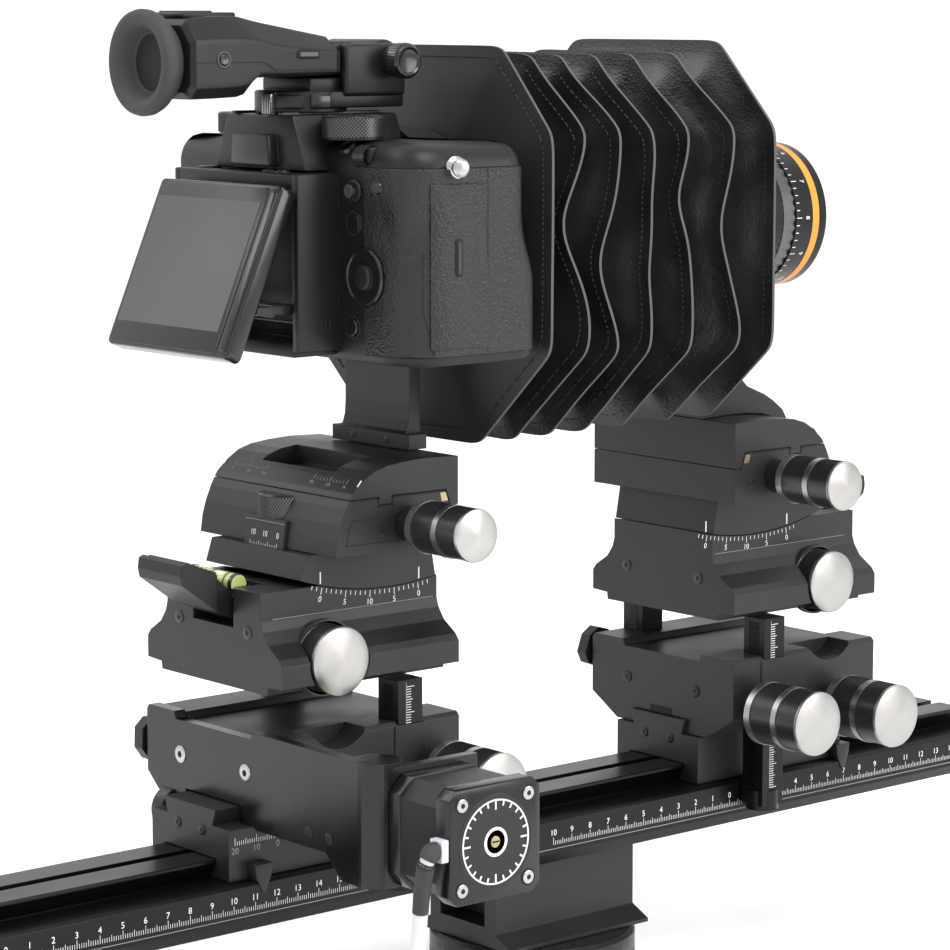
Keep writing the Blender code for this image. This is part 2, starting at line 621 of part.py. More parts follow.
def build_cable(look):
    box("motor_plug", (-0.1328, 0.1560, 0.1042), (-0.1262, 0.1594, 0.1124), look["plastic"],
        0.0004)
    curve = bpy.data.curves.new("motor_cable", "CURVE")
    curve.dimensions = "3D"
    curve.bevel_depth = CABLE_DIAMETER / 2
    curve.bevel_resolution = 2
    curve.use_fill_caps = True
    spline = curve.splines.new("POLY")
    route = smooth_route(CABLE_ROUTE, CABLE_POINTS)
    spline.points.add(len(route) - 1)
    for point, place in zip(spline.points, route):
        point.co = (*place, 1)
    lead = bpy.data.objects.new("motor_cable", curve)
    curve.materials.append(look["cable"])
    parts.objects.link(lead)
    half = COIL_WRAPS * CABLE_DIAMETER / 2
    height = COIL_WRAPS * CABLE_DIAMETER
    inner, outer = COIL_RADIUS - half, COIL_RADIUS + half
    turned("cable_coil", [
        (inner + 0.002, height), (outer - 0.002, height), (outer, height - 0.002), (outer, 0.002),
        (outer - 0.002, 0.0001), (inner + 0.002, 0.0001), (inner, 0.002), (inner, height - 0.002)],
        (*COIL_CENTRE, 0), (0, 0, 1), look["cable"], 36)
    far = COIL_CENTRE[0] - outer
    box("cable_plug", (far - 0.0160, COIL_CENTRE[1] - 0.0160, 0.0001),
        (far - 0.0030, COIL_CENTRE[1] + 0.0160, 0.0120), look["plastic"], 0.0015)


# --- digital camera body ------------------------------------------------------------------------
def build_bracket(look):
    """Foot on the rear shift slide and the plate that carries the camera by its lens mount."""
    plane = REAR_PLANE
    foot = extruded("camera_bracket", [
        (plane + BLOCK_IN, 0.2331), (plane - 0.0155, 0.2337), (plane - 0.0155, 0.2390),
        (plane - 0.0175, 0.2405), (plane - 0.0186, 0.2440), (plane - 0.0190, 0.2500),
        (plane - 0.0190, 0.2800), (plane + BLOCK_IN, 0.2800)], "yz", -0.0200, 0.0200,
        look["anodised"])
    sole = box("bracket_sole", (-0.0240, plane + BLOCK_IN, 0.2337), (0.0240, plane - 0.0155, 0.2395))
    disc = rod("bracket_disc", 0.0420, (0, plane + BLOCK_IN - 0.002, OPTICAL_Z),
               (0, plane - 0.0190, OPTICAL_Z), segments=48)
    neck = rod("bracket_neck", 0.0400, (0, BELLOWS_Y[0] + GAP, OPTICAL_Z),
               (0, plane - 0.0220, OPTICAL_Z), segments=48)
    bore = rod("bracket_bore", 0.0320, (0, 0.0500, OPTICAL_Z), (0, 0.1200, OPTICAL_Z), segments=48)
    join(foot, sole, disc, neck)
    cut(foot, bore)


def build_body(look):
    body = box("camera_body", (BODY_RIGHT, BODY_FRONT, BODY_BOTTOM), (BODY_LEFT, BODY_REAR, BODY_TOP),
               look["plastic"])
    bevel_edges(body, 0.0030, 2)
    grip = box("body_grip", (BODY_RIGHT + 0.0004, 0.0645, BODY_BOTTOM + 0.0020),
               (-0.0470, BODY_FRONT + 0.0060, BODY_TOP - 0.0040))
    bevel_edges(grip, 0.0080, 2)
    hump = extruded("body_hump", [
        (-0.0184, BODY_TOP - 0.0040), (-0.0180, HUMP_TOP), (0.0200, HUMP_TOP),
        (0.0226, BODY_TOP - 0.0040)], "xz", BODY_FRONT + 0.0020, BODY_REAR + 0.0120)
    housing = box("body_housing", (-0.0330, BODY_REAR - 0.004, BODY_BOTTOM + 0.0030),
                  (0.0450, BODY_REAR + 0.0200, BODY_TOP - 0.0080))
    bevel_edges(housing, 0.0020, 1)
    mount = rod("body_mount", 0.0310, (0, 0.0760, OPTICAL_Z), (0, BODY_FRONT + 0.001, OPTICAL_Z),
                segments=48)
    recess = box("arm_recess", (-0.0150, BODY_REAR + 0.0090, 0.2780),
                 (0.0150, BODY_REAR + 0.0260, 0.3180))
    join(body, grip, hump, housing, mount)
    cut(body, recess)


def build_screen(look):
    """Tilting screen at its opened angle, and the arm behind it."""
    tilt = math.radians(SCREEN_TILT)
    down = Vector((0, math.sin(tilt), -math.cos(tilt)))
    out = Vector((0, math.cos(tilt), math.sin(tilt)))
    hinge = Vector((0, *SCREEN_HINGE))

    def corner(u, w):
        place = hinge + down * u + out * w
        return (place.y, place.z)

    panel = extruded("monitor_panel", [
        corner(-0.0010, -0.0032), corner(0.0655, -0.0032), corner(0.0665, -0.0022),
        corner(0.0665, 0.0030), corner(0.0650, 0.0045), corner(0.0004, 0.0045),
        corner(-0.0010, 0.0031)], "yz", -0.0355, 0.0415, look["screen"])
    bevel_edges(panel, 0.0010)
    pivot = Vector((0, *ARM_PIVOT))
    box("monitor_arm", (-0.0110, pivot.y - 0.0015, pivot.z - 0.0008),
        (0.0110, pivot.y + 0.0205, pivot.z + 0.0008), look["plastic"])


def build_controls(look):
    """Dials, buttons and the card door."""
    dial_profile = [(0, 0.0087), (0.0110, 0.0087), (0.0120, 0.0079), (0.0120, 0), (0, 0)]
    for name, x, y in (("dial_right", -0.0310, 0.1170), ("dial_left", 0.0360, 0.1160)):
        turned(name, dial_profile, (x, y, BODY_TOP + GAP), (0, 0, 1), look["knurl"], 32)
    rear = BODY_REAR + GAP
    turned("menu_pad", [
        (0, 0.0026), (0.0050, 0.0026), (0.0056, 0.0016), (0.0100, 0.0022), (0.0110, 0.0012),
        (0.0110, 0), (0, 0)], (-0.0487, rear, 0.3042), (0, 1, 0), look["plastic"], 32)
    turned("joystick", [(0, 0.0032), (0.0028, 0.0032), (0.0036, 0.0022), (0.0036, 0), (0, 0)],
           (-0.0418, rear, 0.3358), (0, 1, 0), look["plastic"], 20)
    turned("display_button", [(0, 0.0014), (0.0036, 0.0014), (0.0042, 0.0008), (0.0042, 0), (0, 0)],
           (-0.0408, rear, 0.2851), (0, 1, 0), look["plastic"], 20)
    box("card_door", (BODY_RIGHT - GAP - 0.0016, 0.0908, 0.2780), (BODY_RIGHT - GAP, 0.1160, 0.3395),
        look["plastic"], 0.0005)


# --- electronic viewfinder ----------------------------------------------------------------------

def build_viewfinder(look):
    low = HUMP_TOP + GAP
    swivel = rod("evf_swivel", 0.0240, (0, SWIVEL_Y, low), (0, SWIVEL_Y, 0.3720), look["plastic"], 48)
    link = box("swivel_link", (-0.0240, 0.0780, low + 0.0020), (0.0240, SWIVEL_Y, 0.3720))
    for side in (-1, 1):
        inner, outer = sorted((side * 0.0164, side * 0.0240))
        cheek = box("swivel_cheek", (inner, 0.0790, 0.3700), (outer, 0.1010, 0.3900))
        bevel_edges(cheek, 0.0030, 2)
        join(swivel, cheek)
    join(swivel, link)
    bore = rod("axis_bore", 0.0033, (-0.0300, *EVF_AXIS), (0.0300, *EVF_AXIS), segments=24)
    cut(swivel, bore)
    body = extruded("evf_body", [
        (0.1120, 0.3780), (0.1510, 0.3772), (0.1568, 0.3712), (0.1820, 0.3695), (0.1820, 0.3985),
        (0.1600, 0.3999), (0.1364, 0.3960), (0.1120, 0.3917)], "yz", -0.0200, 0.0200,
        look["plastic"])
    bevel_edges(body, 0.0020, 2)
    barrel = rod("evf_barrel", 0.0080, (-0.0160, *EVF_AXIS), (0.0160, *EVF_AXIS), segments=32)
    neck = box("evf_neck", (-0.0158, 0.0900, 0.3775), (0.0158, 0.1140, 0.3885))
    pin_bore = rod("evf_pin_bore", 0.0033, (-0.0300, *EVF_AXIS), (0.0300, *EVF_AXIS), segments=24)
    join(body, barrel, neck)
    cut(body, pin_bore)
    turned("evf_eyecup", [
        (0.0125, 0), (0.0125, 0.0060), (0.0165, 0.0108), (0.0200, 0.0108), (0.0200, 0.0060),
        (0.0170, 0)], (0, 0.1820 + GAP, 0.3830), (0, 1, 0), look["rubber"], 40)
    turned("evf_lock_knob", [
        (0, 0.0310), (0.0060, 0.0310), (0.0068, 0.0302), (0.0068, 0.0243), (0.0030, 0.0243),
        (0.0030, 0.0170), (0, 0.0170)], (0, *EVF_AXIS), (-1, 0, 0), look["knurl"], 28)


# --- bellows and lens ---------------------------------------------------------------------------
def octagon(shape, y, size, wall):
    """One ring of the bellows' outline: a rectangle with its corners cut off."""
    half, flat, side = BELLOWS_HALF * size - wall, BELLOWS_FLAT * size, BELLOWS_SIDE * size
    corners = [(flat, half), (half, side), (half, -side), (flat, -half),
               (-flat, -half), (-half, -side), (-half, side), (-flat, half)]
    return [shape.verts.new((x, y, BELLOWS_Z + z)) for x, z in corners]


def build_bellows(look):
    """Folded bag: a loft of octagons, large at the ridges and small at the valleys."""
    shape = bmesh.new()
    walls = []
    for wall in (0, BELLOWS_WALL):
        rings = []
        for i, y in enumerate(BELLOWS_Y):
            size = 1.0 if i % 2 else BELLOWS_FOLD
            rings.append(octagon(shape, y, size, wall))
        for first, second in zip(rings, rings[1:]):
            for k in range(8):
                shape.faces.new((first[k], first[k - 1], second[k - 1], second[k]))
        walls.append(rings)
    for end in (0, -1):
        outer, inner = walls[0][end], walls[1][end]
        for k in range(8):
            shape.faces.new((outer[k], outer[k - 1], inner[k - 1], inner[k]))
    finished("bellows", shape, look["leather"])


def build_lens_frame(look):
    plane = FRONT_PLANE
    inner = plane + 0.0242
    foot = extruded("lens_frame", [
        (inner, 0.2331), (plane + 0.0085, 0.2337), (plane - 0.0020, 0.2335), (plane - 0.0110, 0.2326),
        (plane - 0.0168, 0.2308), (plane - 0.0221, 0.2276), (plane - 0.0250, 0.2252),
        (plane - 0.0250, 0.2300), (plane - 0.0229, 0.2334), (plane - 0.0172, 0.2377),
        (plane - 0.0116, 0.2409), (plane - 0.0016, 0.2449), (plane + 0.0060, 0.2520),
        (plane + 0.0110, 0.2650), (plane + 0.0140, 0.2830), (inner, 0.2830)], "yz", -0.0240, 0.0240,
        look["anodised"])
    frame = box("frame_plate", (-FRAME_HALF, plane + 0.0140, LENS_Z - FRAME_HALF),
                (FRAME_HALF, inner, LENS_Z + FRAME_HALF))
    bevel_edges(frame, 0.0040)
    bore = rod("frame_bore", 0.0275, (0, plane - 0.01, LENS_Z), (0, plane + 0.05, LENS_Z))
    join(foot, frame)
    cut(foot, bore)


def build_lens(look):
    """Lens in the frame's bore: heights are distances forward from its rear end."""
    rear = FRONT_PLANE + 0.0290
    ring_start, ring_length = 0.0303, 0.0408
    turned("lens_barrel", [
        (0.0225, 0.0708), (0.0240, 0.0708), (0.0240, 0.0300), (0.0300, 0.0290), (0.0300, 0.0153),
        (0.0272, 0.0153), (0.0272, 0), (0.0225, 0)], (0, rear, LENS_Z), (0, -1, 0), look["lens"], 48)
    turned("lens_focus_ring", [
        (0.0243, ring_length), (0.0295, ring_length), (0.0305, ring_length - 0.0010), (0.0305, 0),
        (0.0243, 0)], (0, rear - ring_start, LENS_Z), (0, -1, 0), look["lens"], 48)
    turned("lens_glass", [
        (0, 0.0060), (0.0080, 0.0055), (0.0150, 0.0042), (0.0222, 0.0020), (0.0222, 0), (0, 0)],
        (0, rear - 0.0580, LENS_Z), (0, -1, 0), look["glass"], 40)


def main():
    for old in list(bpy.data.objects):
        bpy.data.objects.remove(old)
    for collection in (parts, tools):
        bpy.context.scene.collection.children.link(collection)
    look = make_materials()
    build_base(look)
    build_clamp(look)
    build_rail(look)
    build_standards(look)
    build_motor(look)
    build_cable(look)
    build_bracket(look)
    build_body(look)
    build_screen(look)
    build_controls(look)
    build_viewfinder(look)
    build_bellows(look)
    build_lens_frame(look)
    build_lens(look)


main()
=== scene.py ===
"""Looks for a monorail view camera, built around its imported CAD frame.

Metres, in the frame's own axes: +Z up, the lens towards -Y, the control knobs on the -X side.
"""

import json
import math

import bmesh
import bpy
from mathutils import Matrix, Vector, noise


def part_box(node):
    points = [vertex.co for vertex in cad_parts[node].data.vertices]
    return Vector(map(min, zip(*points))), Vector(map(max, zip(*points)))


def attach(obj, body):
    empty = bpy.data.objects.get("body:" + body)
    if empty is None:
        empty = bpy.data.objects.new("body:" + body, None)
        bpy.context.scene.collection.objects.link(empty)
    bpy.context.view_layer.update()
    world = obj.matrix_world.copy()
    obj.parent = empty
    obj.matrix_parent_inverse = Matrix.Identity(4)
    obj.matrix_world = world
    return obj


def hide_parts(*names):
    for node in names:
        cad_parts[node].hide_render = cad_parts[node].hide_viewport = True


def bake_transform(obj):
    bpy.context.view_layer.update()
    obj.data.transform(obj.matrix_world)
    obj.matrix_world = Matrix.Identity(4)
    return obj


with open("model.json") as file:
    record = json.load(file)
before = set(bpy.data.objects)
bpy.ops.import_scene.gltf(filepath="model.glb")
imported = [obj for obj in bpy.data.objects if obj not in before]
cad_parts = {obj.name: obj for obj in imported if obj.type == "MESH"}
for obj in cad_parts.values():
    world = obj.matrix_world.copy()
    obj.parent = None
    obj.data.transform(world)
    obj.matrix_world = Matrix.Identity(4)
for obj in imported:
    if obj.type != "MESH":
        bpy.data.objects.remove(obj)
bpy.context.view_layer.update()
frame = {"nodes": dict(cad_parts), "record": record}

INK = 0.00008  # how far printed marks stand proud
SHARP = math.radians(32)

REAR_PLANE = 0.1005
FRONT_PLANE = -0.0973
OPTICAL_Z = 0.3170
LENS_Z = 0.3150


# --- materials ----------------------------------------------------------------------------------
class Look:
    """A procedural material: a Principled shader whose colour, roughness and relief come from nodes."""

    def __init__(self, name, colour, roughness, metallic=0.0):
        self.material = bpy.data.materials.new(name)
        self.material.use_nodes = True
        self.tree = self.material.node_tree
        self.shader = self.tree.nodes["Principled BSDF"]
        self.feed(self.shader, {"Metallic": metallic, "Roughness": roughness, "Base Color": (*colour, 1)})
        self.colour = colour
        self.roughness = roughness
        self.place = self.node("TexCoord", {}, "Object")
        self.normal = None

    def feed(self, node, inputs):
        """Gives each named input its value, or the link that it takes its value from."""
        for name, value in inputs.items():
            if isinstance(value, bpy.types.NodeSocket):
                self.tree.links.new(value, node.inputs[name])
            else:
                node.inputs[name].default_value = value

    def node(self, kind, inputs, output, **settings):
        """A new node's output."""
        made = self.tree.nodes.new("ShaderNode" + kind)
        for key, value in settings.items():
            setattr(made, key, value)
        self.feed(made, inputs)
        return made.outputs[output]

    def noise(self, scale, detail=2.0, stretch=(1, 1, 1)):
        place = self.node("Mapping", {"Scale": stretch, "Vector": self.place}, "Vector")
        return self.node("TexNoise", {"Scale": scale, "Detail": detail, "Vector": place}, "Fac")

    def cells(self, scale):
        return self.node("TexVoronoi", {"Scale": scale, "Smoothness": 0.6, "Vector": self.place},
                         "Distance", feature="SMOOTH_F1")

    def spread(self, value, low, high):
        """A value's middle range mapped to two numbers."""
        return self.node("MapRange", {"From Min": 0.3, "From Max": 0.7, "To Min": low, "To Max": high,
                                      "Value": value}, "Result")

    def bend(self, kind, inputs, **settings):
        """Passes the normal through one more node."""
        if self.normal is not None:
            inputs["Normal"] = self.normal
        self.normal = self.node(kind, inputs, "Normal", **settings)
        return self

    def relief(self, height, depth):
        """Bump of a real depth in metres, on top of the relief already there."""
        return self.bend("Bump", {"Distance": depth, "Height": height})

    def rounded(self, radius):
        """Soft edges: the shading normal is rounded over near every edge."""
        return self.bend("Bevel", {"Radius": radius}, samples=4)

    def mottle(self, scale, amount, rough_amount=0.0):
        """Slow variation of colour and roughness over the surface."""
        slow = self.noise(scale, 3.0)
        low, high = ([min(1, c * (1 + change)) for c in self.colour] for change in (-amount, amount))
        colour = self.node("Mix", {"A": (*low, 1), "B": (*high, 1), "Factor": self.spread(slow, 0, 1)},
                           "Result", data_type="RGBA")
        self.feed(self.shader, {"Base Color": colour})
        if rough_amount:
            rough = self.spread(slow, self.roughness - rough_amount, self.roughness + rough_amount)
            self.feed(self.shader, {"Roughness": rough})
        return self

    def done(self):
        if self.normal is not None:
            self.feed(self.shader, {"Normal": self.normal})
        return self.material


def powder(name, colour, roughness, metallic, grain, depth, edge, sheen=0.36):
    """Bead-blasted or sprayed finish: fine grain, slow mottling and softened edges."""
    made = Look(name, colour, roughness, metallic).mottle(38, 0.10, 0.05)
    made.feed(made.shader, {"Specular IOR Level": sheen})
    made.relief(made.noise(grain), depth)
    return (made.rounded(edge) if edge else made).done()


def grained_leather(name, colour, roughness, cell, depth, sheen):
    """Pebbled skin with fine creases between the pebbles."""
    made = Look(name, colour, roughness).mottle(55, 0.22, 0.08)
    made.feed(made.shader, {"Specular IOR Level": sheen})
    made.relief(made.cells(cell), depth)
    return made.relief(made.noise(cell * 0.35, 4.0), depth * 1.3).done()


def spun(name, colour, roughness):
    """Lathe-turned bright metal: rings about the piece's own X axis."""
    made = Look(name, colour, roughness, 1.0).mottle(90, 0.05, 0.06)
    rings = made.node("TexWave", {"Scale": 900, "Distortion": 1.5, "Vector": made.place}, "Fac",
                      wave_type="RINGS", rings_direction="X")
    return made.relief(rings, 0.00002).done()


def drawn(name, colour, roughness):
    """Extruded metal drawn along Y: fine lines along its length."""
    made = Look(name, colour, roughness, 0.85).mottle(30, 0.12, 0.04)
    return made.relief(made.noise(900, 2.0, (1, 0.02, 1)), 0.00002).rounded(0.0004).done()


def clear(name, colour, roughness, transmission):
    """Tinted glass or liquid."""
    made = Look(name, colour, roughness).mottle(120, 0.08, 0.01)
    made.feed(made.shader, {"Transmission Weight": transmission})
    return made.done()


# sprayed, moulded and blasted surfaces: colour, roughness, metallic, scale and depth of the grain,
# width of the rounded edges, and gloss where it isn't powder's own
SURFACES = {
    "anodised": ((0.020, 0.020, 0.0205), 0.40, 0.25, 2600, 0.000025, 0.0005),
    "knurl": ((0.018, 0.018, 0.019), 0.36, 0.4, 2600, 0.000008, 0),
    # lighter colour for every other facet of black knurl: painted glints on the teeth
    "knurl_painted_glint": ((0.110, 0.110, 0.114), 0.30, 0.8, 2600, 0.000008, 0),
    "motor": ((0.006, 0.006, 0.0065), 0.24, 0.1, 1500, 0.000012, 0.0005, 0.42),
    "plastic": ((0.0085, 0.0085, 0.009), 0.38, 0.0, 3200, 0.00005, 0.0006, 0.28),
    "screen": ((0.012, 0.012, 0.0125), 0.34, 0.0, 3200, 0.000015, 0.0003),
    "gloss": ((0.007, 0.007, 0.0075), 0.18, 0.0, 900, 0.000006, 0.0003, 0.5),
    "rim": ((0.045, 0.045, 0.047), 0.30, 0.6, 1500, 0.00001, 0.0002),
    "rubber": ((0.034, 0.033, 0.035), 0.66, 0.0, 1800, 0.00003, 0),
    "lens": ((0.012, 0.012, 0.013), 0.30, 0.5, 2600, 0.000025, 0.0005),
    "cable": ((0.60, 0.59, 0.57), 0.45, 0.0, 900, 0.00005, 0),
    "sheet": ((0.016, 0.016, 0.0165), 0.44, 0.0, 1500, 0.00003, 0),
    "raw_edge": ((0.072, 0.072, 0.075), 0.75, 0.0, 1200, 0.00010, 0),
    "thread": ((0.010, 0.010, 0.011), 0.55, 0.0, 4000, 0.00008, 0),
    "ink": ((0.74, 0.74, 0.72), 0.6, 0.0, 3000, 0.00001, 0),
    "dim_ink": ((0.24, 0.24, 0.24), 0.6, 0.0, 3000, 0.00001, 0),
    "orange": ((0.72, 0.27, 0.03), 0.45, 0.1, 2000, 0.00001, 0.0003),
    "ribbed": ((0.11, 0.11, 0.115), 0.38, 0.7, 2000, 0.00001, 0),
    "steel": ((0.44, 0.43, 0.42), 0.28, 1.0, 1500, 0.00001, 0.0002),
    "brass": ((0.36, 0.30, 0.18), 0.35, 1.0, 1500, 0.00001, 0.0002),
    "socket": ((0.004, 0.004, 0.004), 0.7, 0.0, 1500, 0.00001, 0),
    "label": ((0.010, 0.010, 0.0105), 0.5, 0.0, 1500, 0.00001, 0),
    "display": ((0.070, 0.070, 0.076), 0.5, 0.0, 2500, 0.000004, 0, 0.3),
    "connector": ((0.50, 0.51, 0.55), 0.4, 0.0, 1500, 0.00002, 0.0003),
    "laminate": ((0.030, 0.030, 0.031), 0.34, 0.6, 1500, 0.00002, 0.0003),
}


looks = {name: powder(name, *row) for name, row in SURFACES.items()}
looks.update({
    "rail": drawn("rail", (0.018, 0.018, 0.019), 0.32),
    "silver": spun("silver", (0.41, 0.40, 0.385), 0.36),
    "leather": grained_leather("leather", (0.0080, 0.0080, 0.0085), 0.33, 1300, 0.00009, 0.5),
    "glass": clear("glass", (0.20, 0.23, 0.26), 0.03, 0.7),
    "vial": clear("vial", (0.66, 0.76, 0.26), 0.06, 0.35),
    "bubble": clear("bubble", (0.93, 0.97, 0.75), 0.05, 0.3),
    "pebble": grained_leather("pebble", (0.013, 0.013, 0.0135), 0.40, 1000, 0.00030, 0.34),
    "floor": Look("floor", (0.99, 0.99, 0.99), 0.9).mottle(3, 0.004).done(),
})


# --- mesh building ------------------------------------------------------------------------------
NEAR, FAR = (-1, 0, 0), (1, 0, 0)  # the knobs' side of the camera, and the other
FRONT, REAR = (0, -1, 0), (0, 1, 0)
UP = (0, 0, 1)
TINY = 0.00001  # radius of a lathed piece where it closes on its axis


def facing(origin, right, up):
    """A matrix from a flat drawing's (right, up, out) to the frame."""
    right, up = Vector(right).normalized(), Vector(up).normalized()
    out = right.cross(up)
    turn = Matrix((right, up, out)).transposed().to_4x4()
    return Matrix.Translation(Vector(origin)) @ turn


def along(origin, axis):
    """A matrix whose +Z lies on an axis."""
    turn = Vector(UP).rotation_difference(Vector(axis)).to_matrix().to_4x4()
    return Matrix.Translation(Vector(origin)) @ turn


def mix(a, b, t):
    return a + (b - a) * t


def ease(t):
    """Smoothly from 0 to 1."""
    t = max(0.0, min(1.0, t))
    return t * t * (3 - 2 * t)


def near_face(x, y=0.0, z=0.0):
    """A drawing's place on a face towards -X, seen from there."""
    return facing((x, y, z), FRONT, UP)


def rear_face(y, x=0.0, z=0.0):
    """A drawing's place on a face towards +Y, seen from there."""
    return facing((x, y, z), NEAR, UP)


def spoke(turn, about="Z"):
    """The outward and sideways directions at an angle round an axis."""
    c, s = math.cos(turn), math.sin(turn)
    if about == "Z":
        return Vector((c, s, 0)), Vector((-s, c, 0))
    return Vector((c, 0, s)), Vector((-s, 0, c))


def circle(place, radius, height, steps):
    """Points of a circle about a place's Z."""
    return [place @ (spoke(math.tau * k / steps)[0] * radius + Vector((0, 0, height)))
            for k in range(steps)]


def rectangle(u0, v0, u1, v1):
    """The corners of a rectangle, the low ones first."""
    return [(u0, v0), (u1, v0), (u1, v1), (u0, v1)]


def graduation(number, long, middle, short):
    """A scale line's length, by whether its number divides by ten or by five."""
    return long if number % 10 == 0 else middle if number % 5 == 0 else short


NUMERAL_HEIGHT = 0.69  # of a numeral made one metre high
NUMERALS = {}


def numerals(text):
    """Vertices and faces of a text one metre high, centred, made once for each text."""
    if text not in NUMERALS:
        curve = bpy.data.curves.new("numerals", "FONT")
        curve.body = text
        curve.align_x = "CENTER"
        curve.align_y = "CENTER"
        curve.resolution_u = 3
        holder = bpy.data.objects.new("numerals", curve)
        bpy.context.scene.collection.objects.link(holder)
        bpy.context.view_layer.update()
        evaluated = holder.evaluated_get(bpy.context.evaluated_depsgraph_get())
        mesh = bpy.data.meshes.new_from_object(evaluated)
        corners = [v.co.copy() for v in mesh.vertices]
        faces = [tuple(p.vertices) for p in mesh.polygons]
        NUMERALS[text] = (corners, faces)
        bpy.data.objects.remove(holder)
        bpy.data.curves.remove(curve)
    return NUMERALS[text]


class Shape:
    """A piece under construction. Every face is given the look it takes."""

    def __init__(self, name):
        self.name = name
        self.mesh = bmesh.new()
        self.used = []

    def index(self, look):
        if look not in self.used:
            self.used.append(look)
        return self.used.index(look)

    def faces(self, points, faces, look):
        made = [self.mesh.verts.new(p) for p in points]
        number = self.index(look)
        for face in faces:
            self.mesh.faces.new([made[i] for i in face]).material_index = number

    def soften(self, faces, bevel, steps):
        """Rounds the sharp edges of some faces."""
        self.mesh.normal_update()
        edges = dict.fromkeys(e for f in faces for e in f.edges)
        sharp = [e for e in edges if len(e.link_faces) == 2 and e.calc_face_angle(0) > SHARP]
        bmesh.ops.bevel(self.mesh, geom=sharp, offset=bevel, segments=steps, profile=0.5,
                        affect="EDGES", clamp_overlap=True)

    def loft(self, rings, look, caps=True):
        """Joins rings of equal length with quads. look is one look, or one for each band."""
        count = len(rings[0])
        points = [p for ring in rings for p in ring]
        bands = [look] * (len(rings) - 1) if isinstance(look, str) else look
        made = [self.mesh.verts.new(p) for p in points]
        built = []
        for r, band in enumerate(bands):
            number = self.index(band)
            for k in range(count):
                a, b = r * count + k, r * count + (k + 1) % count
                built.append(self.mesh.faces.new((made[a], made[b], made[b + count], made[a + count])))
                built[-1].material_index = number
        if caps:
            for first, band in ((0, bands[0]), (len(points) - count, bands[-1])):
                built.append(self.mesh.faces.new(made[first:first + count]))
                built[-1].material_index = self.index(band)
        return built

    def skin(self, rings, look):
        """A closed loft whose faces all point outwards."""
        built = self.loft(rings, look)
        bmesh.ops.recalc_face_normals(self.mesh, faces=built)
        return built

    def prism(self, outline, place, low, high, look, bevel=0.0, steps=2):
        """A flat outline of (right, up) points, thickened between two heights out of its plane."""
        rings = [[place @ Vector((u, v, w)) for u, v in outline] for w in (low, high)]
        built = self.skin(rings, look)
        if bevel:
            self.soften(built, bevel, steps)

    def block(self, low, high, look, bevel=0.0, steps=2):
        """A box between two corners."""
        outline = rectangle(*low[:2], *high[:2])
        self.prism(outline, Matrix.Identity(4), low[2], high[2], look, bevel, steps)

    def lathe(self, profile, place, look, steps=48):
        """Turns (radius, height) pairs about the place's Z. look is one look, or one for each band."""
        self.skin([circle(place, radius, height, steps) for radius, height in profile], look)

    def knurled(self, radius, depth, low, high, place, look, teeth, rows):
        """A band of pyramid-shaped teeth; on black knurl every other facet takes a lighter colour, a
        painted glint.
        """
        rings = []
        for j in range(rows + 1):
            ring = []
            height = low + (high - low) * j / rows
            for k in range(teeth * 2):
                turn = math.tau * k / (teeth * 2)
                lift = radius if (j + k) % 2 else radius - depth
                ring.append(place @ Vector((lift * math.cos(turn), lift * math.sin(turn), height)))
            rings.append(ring)
        built = self.loft(rings, look, caps=False)
        # painted glints: every other facet of black knurl gets the lighter colour
        if look == "knurl":
            glint = self.index("knurl_painted_glint")
            for number, face in enumerate(built):
                row, tooth = divmod(number, teeth * 2)
                if (row + tooth) % 2:
                    face.material_index = glint

    def write(self, text, height, place, look="ink"):
        """Numerals of a real height, centred on the place."""
        corners, faces = numerals(text)
        size = height / NUMERAL_HEIGHT
        points = [place @ Vector((c.x * size, c.y * size, INK)) for c in corners]
        self.faces(points, faces, look)

    def mark(self, low, high, place, look="ink", lift=INK):
        """A flat printed rectangle between two (right, up) corners."""
        corners = rectangle(*low, *high)
        self.faces([place @ Vector((u, v, lift)) for u, v in corners], [(0, 1, 2, 3)], look)

    def tick(self, at, half, low, high, place, look="ink"):
        """An upright printed line of a scale."""
        self.mark((at - half, low), (at + half, high), place, look)

    def screw(self, at, out, radius, look="steel"):
        """A countersunk screw head with a hexagonal socket."""
        place = along(at, out)
        rise = radius * 0.12
        self.lathe([(radius, -rise), (radius, rise * 0.4), (radius * 0.88, rise), (radius * 0.45, rise),
                    (TINY, rise)], place, look, 24)
        self.lathe([(radius * 0.42, rise + 0.00003), (TINY, rise + 0.00004)], place, "socket", 6)

    def screw_pair(self, half, y, z, out, radius, look="steel"):
        """Two screws, either side of the middle."""
        for x in (-half, half):
            self.screw((x, y, z), out, radius, look)

    def ring(self, inner, outer, low, high, place, look, steps=48):
        """A flat-sided ring about the place's Z."""
        self.lathe([(inner, low), (outer, low), (outer, high), (inner, high), (inner, low)], place,
                   look, steps)

    def finish(self, smooth=SHARP, at=None):
        """Turns the shape into an object, with edges sharper than an angle kept crisp."""
        if at is not None:
            bmesh.ops.translate(self.mesh, vec=-Vector(at), verts=self.mesh.verts)
        self.mesh.normal_update()
        for face in self.mesh.faces:
            face.smooth = True
        for edge in self.mesh.edges:
            if len(edge.link_faces) == 2 and edge.calc_face_angle(0) > smooth:
                edge.smooth = False
        data = bpy.data.meshes.new(self.name)
        self.mesh.to_mesh(data)
        self.mesh.free()
        for look in self.used:
            data.materials.append(looks[look])
        made = bpy.data.objects.new(self.name, data)
        bpy.context.scene.collection.objects.link(made)
        if at is not None:
            made.location = Vector(at)
        return made


def settle(shape, body, replaced=(), smooth=SHARP, at=None):
    """Finishes a shape, rides it on its body and hides the nodes that it stands for."""
    made = shape.finish(smooth, at)
    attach(made, body)
    if replaced:
        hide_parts(*replaced)
    return made


